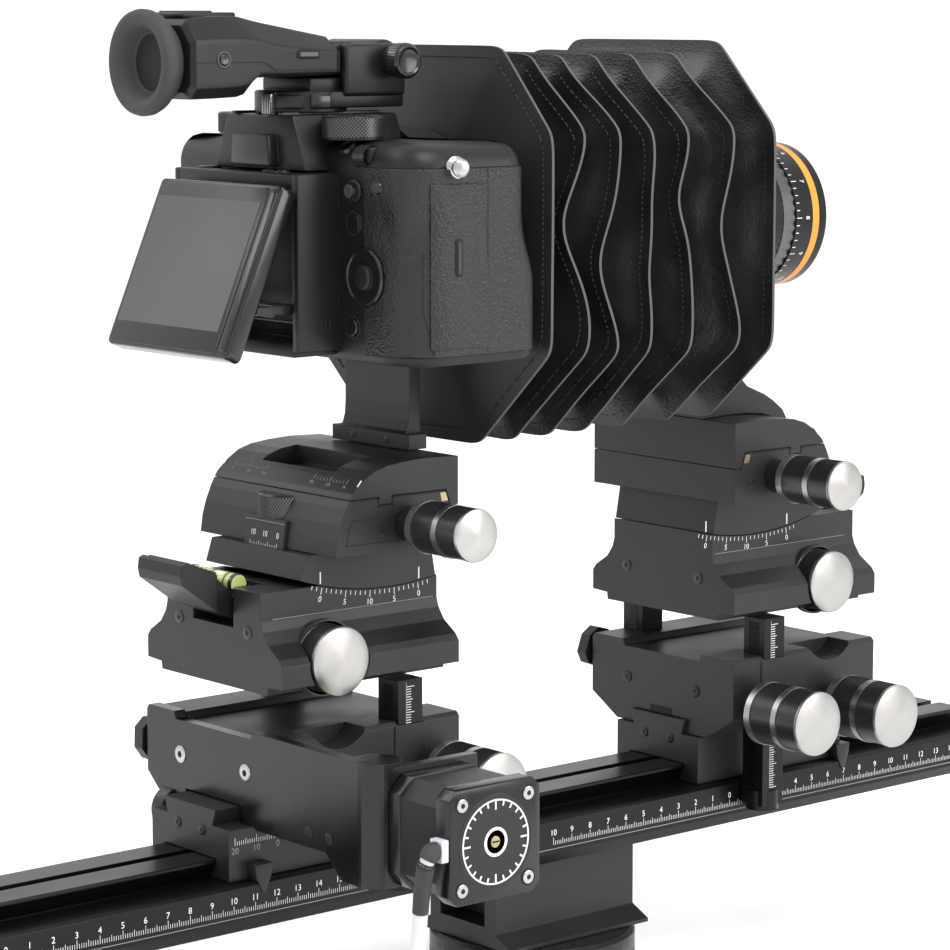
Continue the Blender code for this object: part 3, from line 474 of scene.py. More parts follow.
def rounded_outline(corners, steps=6):
    """A closed outline from (u, v, radius) corners, each rounded by its radius."""
    outline = []
    count = len(corners)
    for i, (u, v, radius) in enumerate(corners):
        here = Vector((u, v))
        if radius <= 0:
            outline.append((u, v))
            continue
        back = (Vector(corners[i - 1][:2]) - here).normalized()
        ahead = (Vector(corners[(i + 1) % count][:2]) - here).normalized()
        half = back.angle(ahead) / 2
        reach = radius / math.tan(half)
        start, end = here + back * reach, here + ahead * reach
        for k in range(steps + 1):
            t = k / steps
            point = start * (1 - t) ** 2 + here * 2 * t * (1 - t) + end * t ** 2
            outline.append((point.x, point.y))
    return outline


def rounded_rectangle(u0, v0, u1, v1, radius, steps=5):
    return rounded_outline([(u, v, radius) for u, v in rectangle(u0, v0, u1, v1)], steps)


# --- camera, cord and stage ---------------------------------------------------------------------
FOCAL_LENGTH = 125.02  # mm, on a 36 mm sensor
EYE = (-1.002457, 0.882414, 0.403375)
SIGHT_LINE = (0.75470, -0.64081, -0.14067)
# area lights: name, place, size, watts
LIGHTS = (("key", (-0.9, 0.3, 1.7), 0.9, 20), ("side", (-1.3, -0.6, 0.7), 0.8, 10),
          ("back", (0.9, 0.9, 1.3), 1.0, 8))
LIGHTS_AIM = Vector((0, 0, 0.22))
WORLD_STRENGTH = 1.12
FLOOR_RADIUS = 4.0


def place_object(name, data, place, aim):
    """Links an object that looks along a direction."""
    made = bpy.data.objects.new(name, data)
    bpy.context.scene.collection.objects.link(made)
    made.location = place
    made.rotation_mode = "QUATERNION"
    made.rotation_quaternion = Vector(aim).to_track_quat("-Z", "Y")
    return made


def make_camera():
    """A long lens from behind and to the left of the camera, level with its bellows."""
    data = bpy.data.cameras.new("view")
    data.lens = FOCAL_LENGTH
    data.sensor_width = 36.0
    data.clip_start = 0.05
    data.clip_end = 30.0
    bpy.context.scene.camera = place_object("view", data, EYE, SIGHT_LINE)


CORD_DIAMETER = 0.0055
CORD_ROUTE = [
    (-0.1300, 0.1602, 0.1083), (-0.1301, 0.1620, 0.1082), (-0.1303, 0.1642, 0.1050),
    (-0.1277, 0.1632, 0.0997), (-0.1250, 0.1620, 0.0930), (-0.1236, 0.1616, 0.0851),
    (-0.1230, 0.1620, 0.0732), (-0.1228, 0.1640, 0.0500), (-0.1232, 0.1700, 0.0290),
    (-0.1240, 0.1800, 0.0110), (-0.1246, 0.1940, 0.0036), (-0.1246, 0.2050, 0.0030),
    (-0.1238, 0.2150, 0.0029), (-0.1219, 0.2290, 0.0029)]
COIL_CENTRE = Vector((-0.1570, 0.2450, 0))
COIL_MIDDLE = 0.0310
TURN_POINTS = 20
COIL_TURNS = ((1, 0), (0, 0), (-1, 0), (-1, 1), (0, 1), (1, 1), (1, 2), (0, 2))  # track, layer
STEP_FROM = 0.7  # share of a turn at which it starts for the next track
LYING = 0.53  # height of the lowest turn's middle, in diameters
SLEEVE_POINTS = 6
SLEEVE_RADII = (0.0036, 0.0030)


def smooth_route(route, spacing=3):
    """Points on the Catmull-Rom curve through a route."""
    points = [Vector(p) for p in route]
    ends = [points[0] * 2 - points[1]] + points + [points[-1] * 2 - points[-2]]
    found = []
    for i in range(len(points) - 1):
        a, b, c, d = ends[i:i + 4]
        for k in range(spacing):
            t = k / spacing
            found.append(0.5 * ((2 * b) + (c - a) * t + (2 * a - 5 * b + 4 * c - d) * t ** 2
                                + (3 * b - a - 3 * c + d) * t ** 3))
    return found + [points[-1]]


def coil_route():
    """Turns beside and on each other, stepping to the next track over a part of each turn."""
    found = []
    total = (len(COIL_TURNS) - 1) * TURN_POINTS + TURN_POINTS // 4
    for k in range(total + 1):
        turn, share = divmod(k, TURN_POINTS)
        share /= TURN_POINTS
        track, layer = COIL_TURNS[turn]
        next_track, next_layer = COIL_TURNS[min(turn + 1, len(COIL_TURNS) - 1)]
        step = ease((share - STEP_FROM) / (1 - STEP_FROM))
        radius = COIL_MIDDLE + CORD_DIAMETER * mix(track, next_track, step)
        height = CORD_DIAMETER * (LYING + mix(layer, next_layer, step))
        found.append(COIL_CENTRE + spoke(math.tau * (turn + share))[0] * radius + Vector((0, 0, height)))
    return found


def route_length(points):
    """The length of a line through points."""
    return sum((b - a).length for a, b in zip(points, points[1:]))


def make_sleeve():
    """Tapered strain relief round the lead's first bend."""
    points = smooth_route(CORD_ROUTE[:SLEEVE_POINTS], 4)
    shape = Shape("lead_sleeve")
    rings = []
    for i, point in enumerate(points):
        ahead = points[min(i + 1, len(points) - 1)] - points[max(i - 1, 0)]
        rings.append(circle(along(point, ahead), mix(*SLEEVE_RADII, i / (len(points) - 1)), 0, 16))
    shape.loft(rings, "rubber")
    return settle(shape, "rear_focus", smooth=math.radians(60))


def make_plug(low, high):
    """The lead's connector between two corners, with its ribbed strain relief."""
    x, z = (low.x + high.x) / 2, (low.z + high.z) / 2
    plug = Shape("lead_plug")
    plug.block((low.x, low.y + 0.006, low.z), (high.x, high.y - 0.009, high.z), "plastic", 0.0016, 3)
    plug.block((low.x + 0.0015, low.y, low.z + 0.002), (high.x - 0.0015, low.y + 0.007, high.z - 0.002),
               "connector", 0.0004, 1)
    for k in range(4):
        start = high.y - 0.0092 + 0.0022 * k
        plug.ring(0.0028, 0.0046 - 0.0003 * k, start, start + 0.0017, along((x, 0, z), REAR), "plastic", 24)
    return settle(plug, "rear_focus", ["cable_plug"])


def make_cord():
    """The motor's lead: down to the floor, into its coil and out to its plug."""
    plug_low, plug_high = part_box("cable_plug")
    plug_x = (plug_low.x + plug_high.x) / 2
    plug_z = (plug_low.z + plug_high.z) / 2
    coil = coil_route()
    last = coil[-1]
    tail = smooth_route([
        tuple(last), (last.x - 0.014, last.y - 0.0005, last.z - 0.0004),
        (last.x - 0.030, last.y - 0.0035, last.z - 0.0025),
        (plug_x + 0.0065, last.y - 0.0080, last.z - 0.0060),
        (plug_x + 0.0008, last.y - 0.0135, plug_z + 0.0008),
        (plug_x, plug_high.y - 0.0010, plug_z)], 3)[1:]
    points = smooth_route(CORD_ROUTE, 2) + coil + tail
    curve = bpy.data.curves.new("motor_lead", "CURVE")
    curve.dimensions = "3D"
    curve.bevel_depth = CORD_DIAMETER / 2
    curve.bevel_resolution = 4
    curve.use_fill_caps = True
    spline = curve.splines.new("POLY")
    spline.points.add(len(points) - 1)
    for target, point in zip(spline.points, points):
        target.co = (*point, 1)
    spline.use_smooth = True
    curve.materials.append(looks["cable"])
    lead = bpy.data.objects.new("motor_lead", curve)
    bpy.context.scene.collection.objects.link(lead)
    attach(lead, "rear_focus")
    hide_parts("motor_cable", "cable_coil")
    round(route_length(points), 3)
    make_plug(plug_low, plug_high)
    make_sleeve()


def make_stage():
    """Pale floor, even surroundings and three soft lamps."""
    shape = Shape("floor")
    shape.lathe([(FLOOR_RADIUS, -0.0006), (FLOOR_RADIUS, -0.0001), (TINY, -0.0001)],
                Matrix.Identity(4), "floor", 96)
    shape.finish()
    world = bpy.data.worlds.new("studio")
    world.use_nodes = True
    background = world.node_tree.nodes["Background"]
    background.inputs["Color"].default_value = (1.0, 1.0, 1.0, 1)
    background.inputs["Strength"].default_value = WORLD_STRENGTH
    bpy.context.scene.world = world
    bpy.context.scene.view_settings.view_transform = "Standard"
    for name, place, size, watts in LIGHTS:
        data = bpy.data.lights.new(name, "AREA")
        data.size = size
        data.energy = watts
        place_object(name, data, place, LIGHTS_AIM - Vector(place))


# --- frame nodes keep their shape and get their looks -------------------------------------------
FINISHES = {"motor_bracket": "motor"}  # nodes with a finish of their own within their slot


def dress_frame():
    """Gives every CAD node the look of its material slot."""
    for row in frame["record"]["subparts"]:
        data = frame["nodes"][row["node"]].data
        data.materials.clear()
        data.materials.append(looks[FINISHES.get(row["node"], row["material_slot"])])


# --- knobs --------------------------------------------------------------------------------------
KNURL_DEPTH = 0.0005
KNURL_PITCH = 0.00125


def knob_frame(node):
    """A knob's new shape, its axis, radius and outer end, and the point that it turns about."""
    low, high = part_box(node)
    at = (low.x, (low.y + high.y) / 2, (low.z + high.z) / 2)
    shape = Shape(node.replace("_knob", "_handwheel"))
    return shape, along((0, *at[1:]), NEAR), (high.z - low.z) / 2, -low.x, at


def domed(radius, end):
    """The spun face of a knob, from its middle to near its rim."""
    return [(TINY, end), (radius * 0.35, end - 0.0001), (radius * 0.7, end - 0.0005),
            (radius - 0.0009, end - 0.0010)]


def twin_knob(node):
    """Two knurled bands between bright rings, under a domed spun cap."""
    knob, place, radius, end, at = knob_frame(node)
    start, middle = end - 0.0315, end - 0.0148
    knob.lathe(domed(radius, end) + [
        (radius - 0.0002, end - 0.0014), (radius, end - 0.0020), (radius, end - 0.0026),
        (radius - 0.0004, end - 0.0028), (radius * 0.5, end - 0.0029), (TINY, end - 0.0029)],
        place, "silver", 64)
    knob.ring(radius * 0.5, radius, middle - 0.0014, middle + 0.0014, place, "silver", 64)
    knob.ring(radius * 0.5, radius, start, start + 0.0032, place, "silver", 64)
    teeth = round(math.tau * radius / KNURL_PITCH)
    for low, high in ((middle + 0.0014, end - 0.0026), (start + 0.0032, middle - 0.0014)):
        rows = round((high - low) / 0.0006)
        knob.knurled(radius - 0.0001, KNURL_DEPTH, low, high, place, "knurl", teeth, rows)
    knob.lathe([(0.0070, start - 0.0086), (0.0070, start + 0.0002)], place, "knurl", 40)
    settle(knob, node, [node], at=at)


def tilt_knob(node):
    """One knurled band between two spun faces."""
    knob, place, radius, end, at = knob_frame(node)
    knob.lathe(domed(radius, end) + [
        (radius - 0.0002, end - 0.0015), (radius, end - 0.0022), (radius, end - 0.0030),
        (TINY, end - 0.0031)], place, "silver", 64)
    knob.knurled(radius - 0.0001, KNURL_DEPTH, end - 0.0116, end - 0.0028, place, "knurl",
                 round(math.tau * radius / KNURL_PITCH), 15)
    knob.lathe([(radius - 0.0002, end - 0.0116), (radius, end - 0.0118), (radius, end - 0.0126),
                (radius - 0.0006, end - 0.0130), (TINY, end - 0.0130)], place, "silver", 64)
    settle(knob, node, [node], at=at)


def make_knobs():
    for side in ("rear", "front"):
        twin_knob(f"{side}_rise_knob")
        twin_knob(f"{side}_shift_knob")
        tilt_knob(f"{side}_tilt_knob")
    twin_knob("front_focus_knob")


# --- bellows ------------------------------------------------------------------------------------
RIDGES = (0.0570, 0.0400, 0.0230, 0.0055, -0.0140, -0.0380, -0.0610)
BELLOWS_ENDS = (0.0610, -0.0728)
BELLOWS_Z = 0.3135
# outline of the bag at its rear and front: half width, top, upper corner, lower corner, bottom,
# half length of the top edge, half length of the bottom edge
REAR_OUTLINE = (0.0755, 0.3885, 0.3550, 0.2740, 0.2345, 0.0460, 0.0330)
FRONT_OUTLINE = (0.0760, 0.3900, 0.3550, 0.2685, 0.2365, 0.0425, 0.0400)
HALF_WIDTH = 0.076  # the size that shares of the outline refer to
AROUND = 34  # points on each of the outline's eight edges
SOFTENING = 5  # rounds of smoothing of the outline's corners
END_CALM = 0.15  # how much of the wander the two outermost ridges keep
WANDER = 0.0022
PULL = 0.010
LOOSE, CREASED, RIPPLED = 0.034, 0.012, 0.0016
EDGE_HALF = 0.0006
FLANGE = 0.0055
STITCH_INSET = 0.0044
STITCH_LENGTH = 0.0014
STITCH_PITCH = 0.0022
STITCH_HALF = 0.00028
VALLEY = 0.70
TOP_SAG = (0.0, 0.0036, 0.0038, 0.0040, 0.0042, 0.0040, 0.0)  # how far each ridge's top edge hangs
# dents of the ridges' side edges: ridge, side, height, half length, shift along Y, pull inwards
DENTS = [
    (1, -1, 0.322, 0.020, 0.0060, 0.0045), (1, -1, 0.285, 0.016, -0.0020, -0.0005),
    (2, -1, 0.305, 0.020, 0.0055, 0.0045), (2, -1, 0.270, 0.014, -0.0015, 0.0),
    (3, -1, 0.345, 0.012, -0.0015, 0.0), (3, -1, 0.300, 0.014, 0.0015, 0.0010),
    (4, -1, 0.330, 0.014, 0.0030, 0.0025), (4, -1, 0.280, 0.020, -0.0010, 0.0),
    (5, -1, 0.318, 0.018, 0.0030, 0.0030), (5, -1, 0.275, 0.016, -0.0045, -0.0005),
    (1, 1, 0.300, 0.020, -0.0045, 0.0035), (2, 1, 0.335, 0.018, 0.0045, 0.0030),
    (3, 1, 0.295, 0.020, 0.0035, 0.0030), (4, 1, 0.320, 0.016, -0.0040, 0.0035),
    (5, 1, 0.290, 0.020, 0.0040, 0.0030)]
# bodies in their order along the bag, and the length of bag set aside for each joint between them
CHAIN = ["rear_shift", "rear_swing", "rear_tilt", "rear_rise", "rear_focus", "rear_carriage", "rail",
         "front_carriage", "front_focus", "front_rise", "front_tilt", "front_swing", "front_shift"]
STRIPS = [0.0050, 0.0175, 0.0130, 0.0050, 0.0125, 0.0120]


def bag_outline(y):
    """The bag's full-size outline at a y, as (x, z) points with softened corners."""
    span = BELLOWS_ENDS[0] - BELLOWS_ENDS[1]
    share = (BELLOWS_ENDS[0] - y) / span
    half, top, upper, lower, bottom, top_flat, low_flat = (
        mix(a, b, share) for a, b in zip(REAR_OUTLINE, FRONT_OUTLINE))
    corners = [(-low_flat, bottom), (-half, lower), (-half, upper), (-top_flat, top),
               (top_flat, top), (half, upper), (half, lower), (low_flat, bottom)]
    points = []
    for i, (x, z) in enumerate(corners):
        after = corners[(i + 1) % 8]
        points += [(mix(x, after[0], k / AROUND), mix(z, after[1], k / AROUND)) for k in range(AROUND)]
    for _ in range(SOFTENING):
        points = [tuple((a + b + c) / 3 for a, b, c in zip(*trio))
                  for trio in zip(points[-1:] + points, points, points[1:] + points[:1])]
    return points


def ridge_shift(ridge, x, z):
    """How a ridge's edge wanders at a point of the outline: (along Y, share pulled inwards)."""
    calm = END_CALM if ridge in (0, len(RIDGES) - 1) else 1.0
    place = Vector((x * 22, z * 22, ridge * 3.7))
    shift = WANDER * noise.noise(place) * calm
    pull = PULL * noise.noise(place + Vector((9, 4, 2))) * calm
    pull += TOP_SAG[ridge] / 0.074 * ease((z - 0.355) / 0.030)
    for number, side, height, half, along_y, inwards in DENTS:
        if number == ridge and x * side > 0.02:
            near = math.exp(-((z - height) / half) ** 2) * ease((x * side - 0.03) / 0.03)
            shift += along_y * near
            pull += inwards / HALF_WIDTH * near
    return shift, pull


def bag_point(x, z, y, size):
    """A point of the bag's outline, drawn in towards its middle line."""
    return Vector((x * size, y, BELLOWS_Z + (z - BELLOWS_Z) * size))


def fold_profile():
    """Sections between one ridge and the next: (share of the way, size of the outline, slackness)."""
    flange = FLANGE / HALF_WIDTH
    half = [(0.0, 1.0, 0.0), (0.015, 1 - flange * 0.5, 0.05), (0.04, 1 - flange, 0.15),
            (0.10, 1 - flange * 1.6, 0.5), (0.17, 0.850, 0.8), (0.25, 0.805, 1.0),
            (0.33, 0.765, 1.0), (0.42, 0.725, 0.9)]
    return half + [(0.5, VALLEY, 0.8)] + [(1 - t, size, slack) for t, size, slack in reversed(half)]


def bag_ring(ridge, share, size, slack):
    """A ring of the bag a share of the way from one ridge to the next."""
    after = min(ridge + 1, len(RIDGES) - 1)
    thick = EDGE_HALF * (1 - 2 * share)
    y = mix(RIDGES[ridge], RIDGES[after], share) - thick
    ring = []
    for x, z in bag_outline(y):
        here, there = ridge_shift(ridge, x, z), ridge_shift(after, x, z)
        blend = ease(share)
        shift, pull = mix(here[0], there[0], blend), mix(here[1], there[1], blend)
        broad = noise.noise(Vector((x * 30, z * 30, y * 55)))
        crease = noise.noise(Vector((x * 75, z * 75, y * 120 + 5)))
        loose = slack * (LOOSE * broad + CREASED * crease)
        ripple = slack * RIPPLED * noise.noise(Vector((x * 45 + 3, z * 45, y * 90)))
        ring.append(bag_point(x, z, y + shift + ripple, size - pull + loose))
    return ring


def add_stitches(shape, ridge, side):
    """Thread dashes along the flange of a ridge, on its rear (+1) or front (-1) face."""
    y = RIDGES[ridge]
    size = 1 - STITCH_INSET / HALF_WIDTH
    path = []
    for x, z in bag_outline(y):
        shift, pull = ridge_shift(ridge, x, z)
        path.append(bag_point(x, z, y + shift + side * (EDGE_HALF + 0.0004), size - pull))
    path.append(path[0])
    travelled, dash_from = 0.0, 0.0
    for a, b in zip(path, path[1:]):
        length = (b - a).length
        while dash_from + STITCH_LENGTH <= travelled + length:
            start = a + (b - a) * max(0.0, (dash_from - travelled) / length)
            end = start + (b - a).normalized() * STITCH_LENGTH
            across = Vector((b.z - a.z, 0, a.x - b.x)).normalized() * STITCH_HALF
            lift = Vector((0, side * STITCH_HALF * 1.3, 0))
            inset = (end - start) * 0.15
            points = [start - across, start + across, end + across, end - across,
                      start + inset + lift, end - inset + lift]
            shape.faces(points, [(0, 1, 4), (1, 2, 5, 4), (2, 3, 5), (3, 0, 4, 5)], "thread")
            dash_from += STITCH_PITCH
        travelled += length


def build_bag():
    """The whole bag as one mesh: leather folds, raw edges and stitching."""
    shape = Shape("bag")
    rings, bands = [], []
    back = bag_outline(BELLOWS_ENDS[0])
    for y, size in ((BELLOWS_ENDS[0], 0.52), (BELLOWS_ENDS[0] - 0.0004, 0.56)):
        rings.append([bag_point(x, z, y, size) for x, z in back])
        bands.append("sheet")
    for size in (0.75, 0.90, 0.97, 1.0):
        ring = []
        for x, z in back:
            shift, pull = ridge_shift(0, x, z)
            share = ease((size - 0.56) / 0.44)
            y = mix(BELLOWS_ENDS[0] - 0.0006, RIDGES[0] + EDGE_HALF + shift, share)
            ring.append(bag_point(x, z, y, size - pull * share))
        rings.append(ring)
        bands.append("sheet" if size < 1 else "raw_edge")
    for ridge in range(len(RIDGES) - 1):
        for share, size, slack in fold_profile():
            rings.append(bag_ring(ridge, share, size, slack))
            bands.append("leather")
        bands[-1] = "raw_edge"
    front = bag_outline(RIDGES[-1])
    for y, size in ((RIDGES[-1] - EDGE_HALF, 1.0), (RIDGES[-1] - EDGE_HALF, 0.95),
                    (mix(RIDGES[-1], BELLOWS_ENDS[1], 0.5), 0.80), (BELLOWS_ENDS[1], 0.62)):
        rings.append([bag_point(x, z, y, size) for x, z in front])
        bands.append("leather")
    shape.loft(rings, bands[:-1], caps=False)
    bmesh.ops.recalc_face_normals(shape.mesh, faces=shape.mesh.faces)
    for ridge in range(len(RIDGES)):
        add_stitches(shape, ridge, 1)
        add_stitches(shape, ridge, -1)
    return shape


def make_bellows():
    """Cuts the bag across its length into strips; the end strips ride on the rear and front shift bodies,
    the others stay fixed in place.
    """
    shape = build_bag()
    total = BELLOWS_ENDS[0] - BELLOWS_ENDS[1]
    end_length = (total - 2 * sum(STRIPS)) / 2
    cuts = [BELLOWS_ENDS[0] - end_length]
    for length in STRIPS + STRIPS[::-1]:
        cuts.append(cuts[-1] - length)
    for y in cuts:
        geometry = list(shape.mesh.verts) + list(shape.mesh.edges) + list(shape.mesh.faces)
        bmesh.ops.bisect_plane(shape.mesh, geom=geometry, plane_co=(0, y, 0), plane_no=REAR, dist=0.0000001)
    shape.mesh.faces.ensure_lookup_table()
    shape.mesh.normal_update()
    edges = [math.inf] + cuts + [-math.inf]
    looks_used = list(shape.used)
    for number in range(len(edges) - 1):
        strip = Shape(f"bellows_fold_{number:02d}")
        strip.used = list(looks_used)
        strip.mesh.free()
        strip.mesh = shape.mesh.copy()
        outside = [f for f in strip.mesh.faces
                   if not edges[number + 1] < f.calc_center_median().y < edges[number]]
        bmesh.ops.delete(strip.mesh, geom=outside, context="FACES")
        piece = strip.finish(math.radians(50))
        if number == 0:
            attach(piece, CHAIN[0])
        elif number == len(edges) - 2:
            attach(piece, CHAIN[-1])
        else:
            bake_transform(piece)
        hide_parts("bellows")
    shape.mesh.free()


# --- focus motor --------------------------------------------------------------------------------
FLANGE_DEPTH = 0.0080
END_CAP_DEPTH = 0.0062
SHEETS = 22  # steel sheets of the motor's middle, each with a gap after it
SHEET_SHARE = 0.82
MOTOR_SCREW_OFFSET = 0.0155
FACE_TICKS = 24


def chamfered_square(half, cut):
    """A square outline with its corners cut off."""
    quarter = [(half - cut, -half), (half, -half + cut)]
    return quarter + [(half, half - cut), (half - cut, half)] + [(-u, -v) for u, v in quarter] + [
        (-half, -half + cut), (-half + cut, -half)]


def make_motor():
    """Stepper motor: flanged face, stack of sheets, end cap, spindle and its lead's socket."""
    low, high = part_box("motor_body")
    y, z = (low.y + high.y) / 2, (low.z + high.z) / 2
    half = (high.y - low.y) / 2
    front, back = -low.x, -high.x
    start, end = back + END_CAP_DEPTH, front - FLANGE_DEPTH
    place = near_face(0, y, z)
    body = Shape("motor_housing")
    body.prism(chamfered_square(half, 0.0035), place, end, front, "motor", 0.0005, 2)
    body.prism(chamfered_square(half - 0.0002, 0.0060), place, back, start, "motor", 0.0004, 2)
    for k in range(SHEETS):
        body.prism(chamfered_square(half - 0.0008, 0.0065), place, mix(start, end, k / SHEETS),
                   mix(start, end, (k + SHEET_SHARE) / SHEETS), "laminate")
    body.prism(chamfered_square(half - 0.0010, 0.0066), place, start, end, "laminate")
    for u, v in rectangle(*[-MOTOR_SCREW_OFFSET] * 2, *[MOTOR_SCREW_OFFSET] * 2):
        at = place @ Vector((u, v, front))
        body.ring(0.0026, 0.0031, -0.0002, 0.0002, along(at, NEAR), "socket", 24)
        body.screw(at + Vector((-0.0002, 0, 0)), NEAR, 0.0025)
    face = along((-front, y, z), NEAR)
    body.ring(0.0044, 0.0172, -0.0002, 0.00012, face, "label", 72)
    body.ring(0.0043, 0.0054, 0.0001, 0.0003, face, "ink", 48)
    body.ring(0.0150, 0.0156, 0.0001, 0.0003, face, "ink", 72)
    for k in range(FACE_TICKS):
        turn = math.tau * k / FACE_TICKS
        place = facing((-front, y, z), (0, -math.cos(turn), math.sin(turn)),
                       (0, math.sin(turn), math.cos(turn)))
        inner = 0.0118 if k % 6 == 0 else 0.0132
        body.mark((inner, -0.00035), (0.0150, 0.00035), place, "ink", 0.0002)
    settle(body, "rear_focus", ["motor_body"])
    shaft = Shape("motor_spindle")
    shaft.lathe([(0.0030, 0.0300), (0.0030, 0.0500), (0.0080, 0.0500), (0.0080, 0.0900),
                 (0.0025, 0.0902), (0.0025, front - 0.0002), (0.0020, front + 0.0002),
                 (TINY, front + 0.0002)], along((0, y, z), NEAR), "brass", 40)
    shaft.mark((-0.0017, -0.0003), (0.0017, 0.0003), near_face(-front - 0.0002, y, z), "socket")
    settle(shaft, "motor_shaft", ["motor_shaft"])
    plug = Shape("motor_socket")
    plug.block(*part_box("motor_plug"), "connector", 0.0004, 2)
    settle(plug, "rear_focus", ["motor_plug"])


# --- printed scales -----------------------------------------------------------------------------
MILLIMETRE = 0.001
LINE = 0.0001  # half width of a printed millimetre line
BED_RADIUS = 0.134  # of the curved bed that the tilt cradle rolls in
TOOTH_PITCH = 0.0010  # of the racks on the posts
# rail scales: zero's place along Y, direction in which the numbers grow, first and last millimetre
RAIL_SCALES = ((0.275, -1, 0, 204), (-0.085, 1, -157, 100))


def make_rail_scale():
    """Millimetre scale with numbered centimetres along the rail's -X face."""
    scale = Shape("rail_scale")
    face_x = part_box("rail_main")[0].x
    place = near_face(face_x, 0, 0.0668)
    for zero, direction, first, last in RAIL_SCALES:
        for mm in range(first, last + 1):
            y = zero + direction * mm * MILLIMETRE
            scale.tick(-y, LINE, 0, graduation(mm, 0.0032, 0.0025, 0.0017), place)
            if mm % 10 == 0:
                scale.write(str(abs(mm) // 10), 0.0024, near_face(face_x, y, 0.0718))
    scale.mark((-0.284, -0.0018), (0.247, -0.0015), place, "dim_ink")
    settle(scale, "rail")


def make_carriage_scales():
    """Short position scale on the rear carriage, and the pointers over the rail's scale."""
    scale = Shape("carriage_scale")
    low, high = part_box("rear_rail_carriage")
    place = near_face(low.x, high.y - 0.0028, 0.0915)
    for mm in range(0, 41):
        scale.tick(mm * MILLIMETRE, LINE, 0, graduation(mm, 0.0030, 0.0023, 0.0016), place)
    for k, text in enumerate(("20", "10", "0", "10", "20")):
        scale.write(text, 0.0024, place @ Matrix.Translation((k * 0.010, -0.0022, 0)), "dim_ink")
    settle(scale, "rear_carriage")
    outline = [(-0.0042, 0.0842), (0.0042, 0.0842), (0.0034, 0.0790), (0.0006, 0.0728),
               (-0.0006, 0.0728), (-0.0034, 0.0790)]
    for body, y in (("rear_carriage", 0.1612), ("front_carriage", -0.1540)):
        pointer = Shape(f"{body}_pointer")
        pointer.prism(outline, near_face(0, y), 0.0250, 0.0306, "anodised", 0.0003, 2)
        settle(pointer, body)


def make_tilt_scale(side, plane, outward, zero):
    """Scale on the tilt block's edge, its index lines on the cradle, and a thin border below.

    zero is the reach of the scale's middle number.
    """
    face_x = -0.0300
    border = near_face(face_x)
    marks = Shape(f"{side}_tilt_scale")
    centre = Vector((face_x, plane, OPTICAL_Z))
    middle = math.asin(zero / (BED_RADIUS + 0.0005))
    for degree in range(-12, 13):
        turn = middle + math.radians(degree)
        down = Vector((0, outward * math.sin(turn), -math.cos(turn)))
        right = Vector((0, -math.cos(turn), -outward * math.sin(turn)))
        place = facing(centre + down * (BED_RADIUS + 0.0008), right, -down)
        marks.tick(0, 0.00014, -0.0016 if degree % 5 else -0.0026, 0, place)
        if degree % 5 == 0:
            marks.write(str(10 - abs(degree)), 0.0022,
                        facing(centre + down * (BED_RADIUS + 0.0052), right, -down))
    low, high = sorted((plane + outward * -0.0222, plane + outward * 0.0555))
    marks.mark((-high, 0.17655), (-low, 0.17675), border, "dim_ink")
    settle(marks, f"{side}_rise")
    lines = Shape(f"{side}_tilt_index")
    for reach in (zero + 0.0240, zero - 0.0240):
        bottom = OPTICAL_Z - math.sqrt(BED_RADIUS ** 2 - reach ** 2) + 0.0006
        lines.tick(-(plane + outward * reach), 0.0003, bottom, bottom + 0.0045, border)
    settle(lines, f"{side}_tilt")


def add_rack(shape, x, y, direction, bottom, top):
    """Wedge-shaped teeth up a post's face."""
    for k in range(int((top - bottom) / TOOTH_PITCH)):
        z = bottom + k * TOOTH_PITCH
        crest, z_crest = y + direction * 0.00028, z + 0.0003
        points = [(x - 0.0030, y, z), (x + 0.0030, y, z), (x + 0.0030, y, z + 0.0006),
                  (x - 0.0030, y, z + 0.0006), (x - 0.0030, crest, z_crest), (x + 0.0030, crest, z_crest)]
        shape.faces(points, [(0, 1, 5, 4), (4, 5, 2, 3), (0, 4, 3), (1, 2, 5)], "rail")


def make_post_details():
    """Height scale strips and racks on the posts."""
    for side, plane in (("rear", REAR_PLANE), ("front", FRONT_PLANE)):
        rack = Shape(f"{side}_post_scale")
        for post in ("post_near", "post_far"):
            low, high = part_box(f"{side}_{post}")
            bottom, top = low.z + 0.010, high.z - 0.001
            mid = (low.x + high.x) / 2
            if post == "post_near":
                place = near_face(mid - 0.0060, plane)
                rack.mark((-0.0022, bottom), (-0.0019, top), place, "dim_ink", 0.00012)
                for mm in range(int((top - bottom) * 1000)):
                    z = bottom + mm * MILLIMETRE
                    rack.mark((-0.0020, z - 0.00013),
                              (-0.0020 + graduation(mm, 0.0040, 0.0032, 0.0024), z + 0.00013), place)
            for direction in (1, -1):
                add_rack(rack, mid, plane + direction * 0.0060, direction, bottom, top)
        settle(rack, f"{side}_rise")


RIM_RADIUS = 0.0428


def make_turntable_details():
    """Knurled rim of the turntable, with a scale of degrees above it."""
    rim = Shape("turntable_rim")
    place = Matrix.Identity(4)
    rim.knurled(RIM_RADIUS, 0.0006, 0.0128, 0.0172, place, "knurl", 150, 4)
    rim.lathe([(RIM_RADIUS, 0.0172), (RIM_RADIUS, 0.0238), (0.0418, 0.0246), (0.0400, 0.0246)], place,
              "knurl", 96)
    for degree in range(0, 360, 2):
        out, right = spoke(math.radians(degree))
        spot = facing(out * (RIM_RADIUS + 0.00002) + Vector((0, 0, 0.0178)), right, UP)
        rim.tick(0, 0.00012, 0, 0.0020 if degree % 10 else 0.0034, spot, "dim_ink")
    settle(rim, "turntable")


# --- camera body --------------------------------------------------------------------------------
BODY_REAR = 0.1250
BODY_FRONT = 0.0697
GRIP_X = -0.0760  # the grip's side
GRIP_LOW, GRIP_TOP = 0.2756, 0.3446  # the leather's edges
LEATHER = 0.0006  # how far it stands proud
SEAMS = ((0.1177, 0.0045), (0.0902, 0.0))  # place along Y, bend at the foot
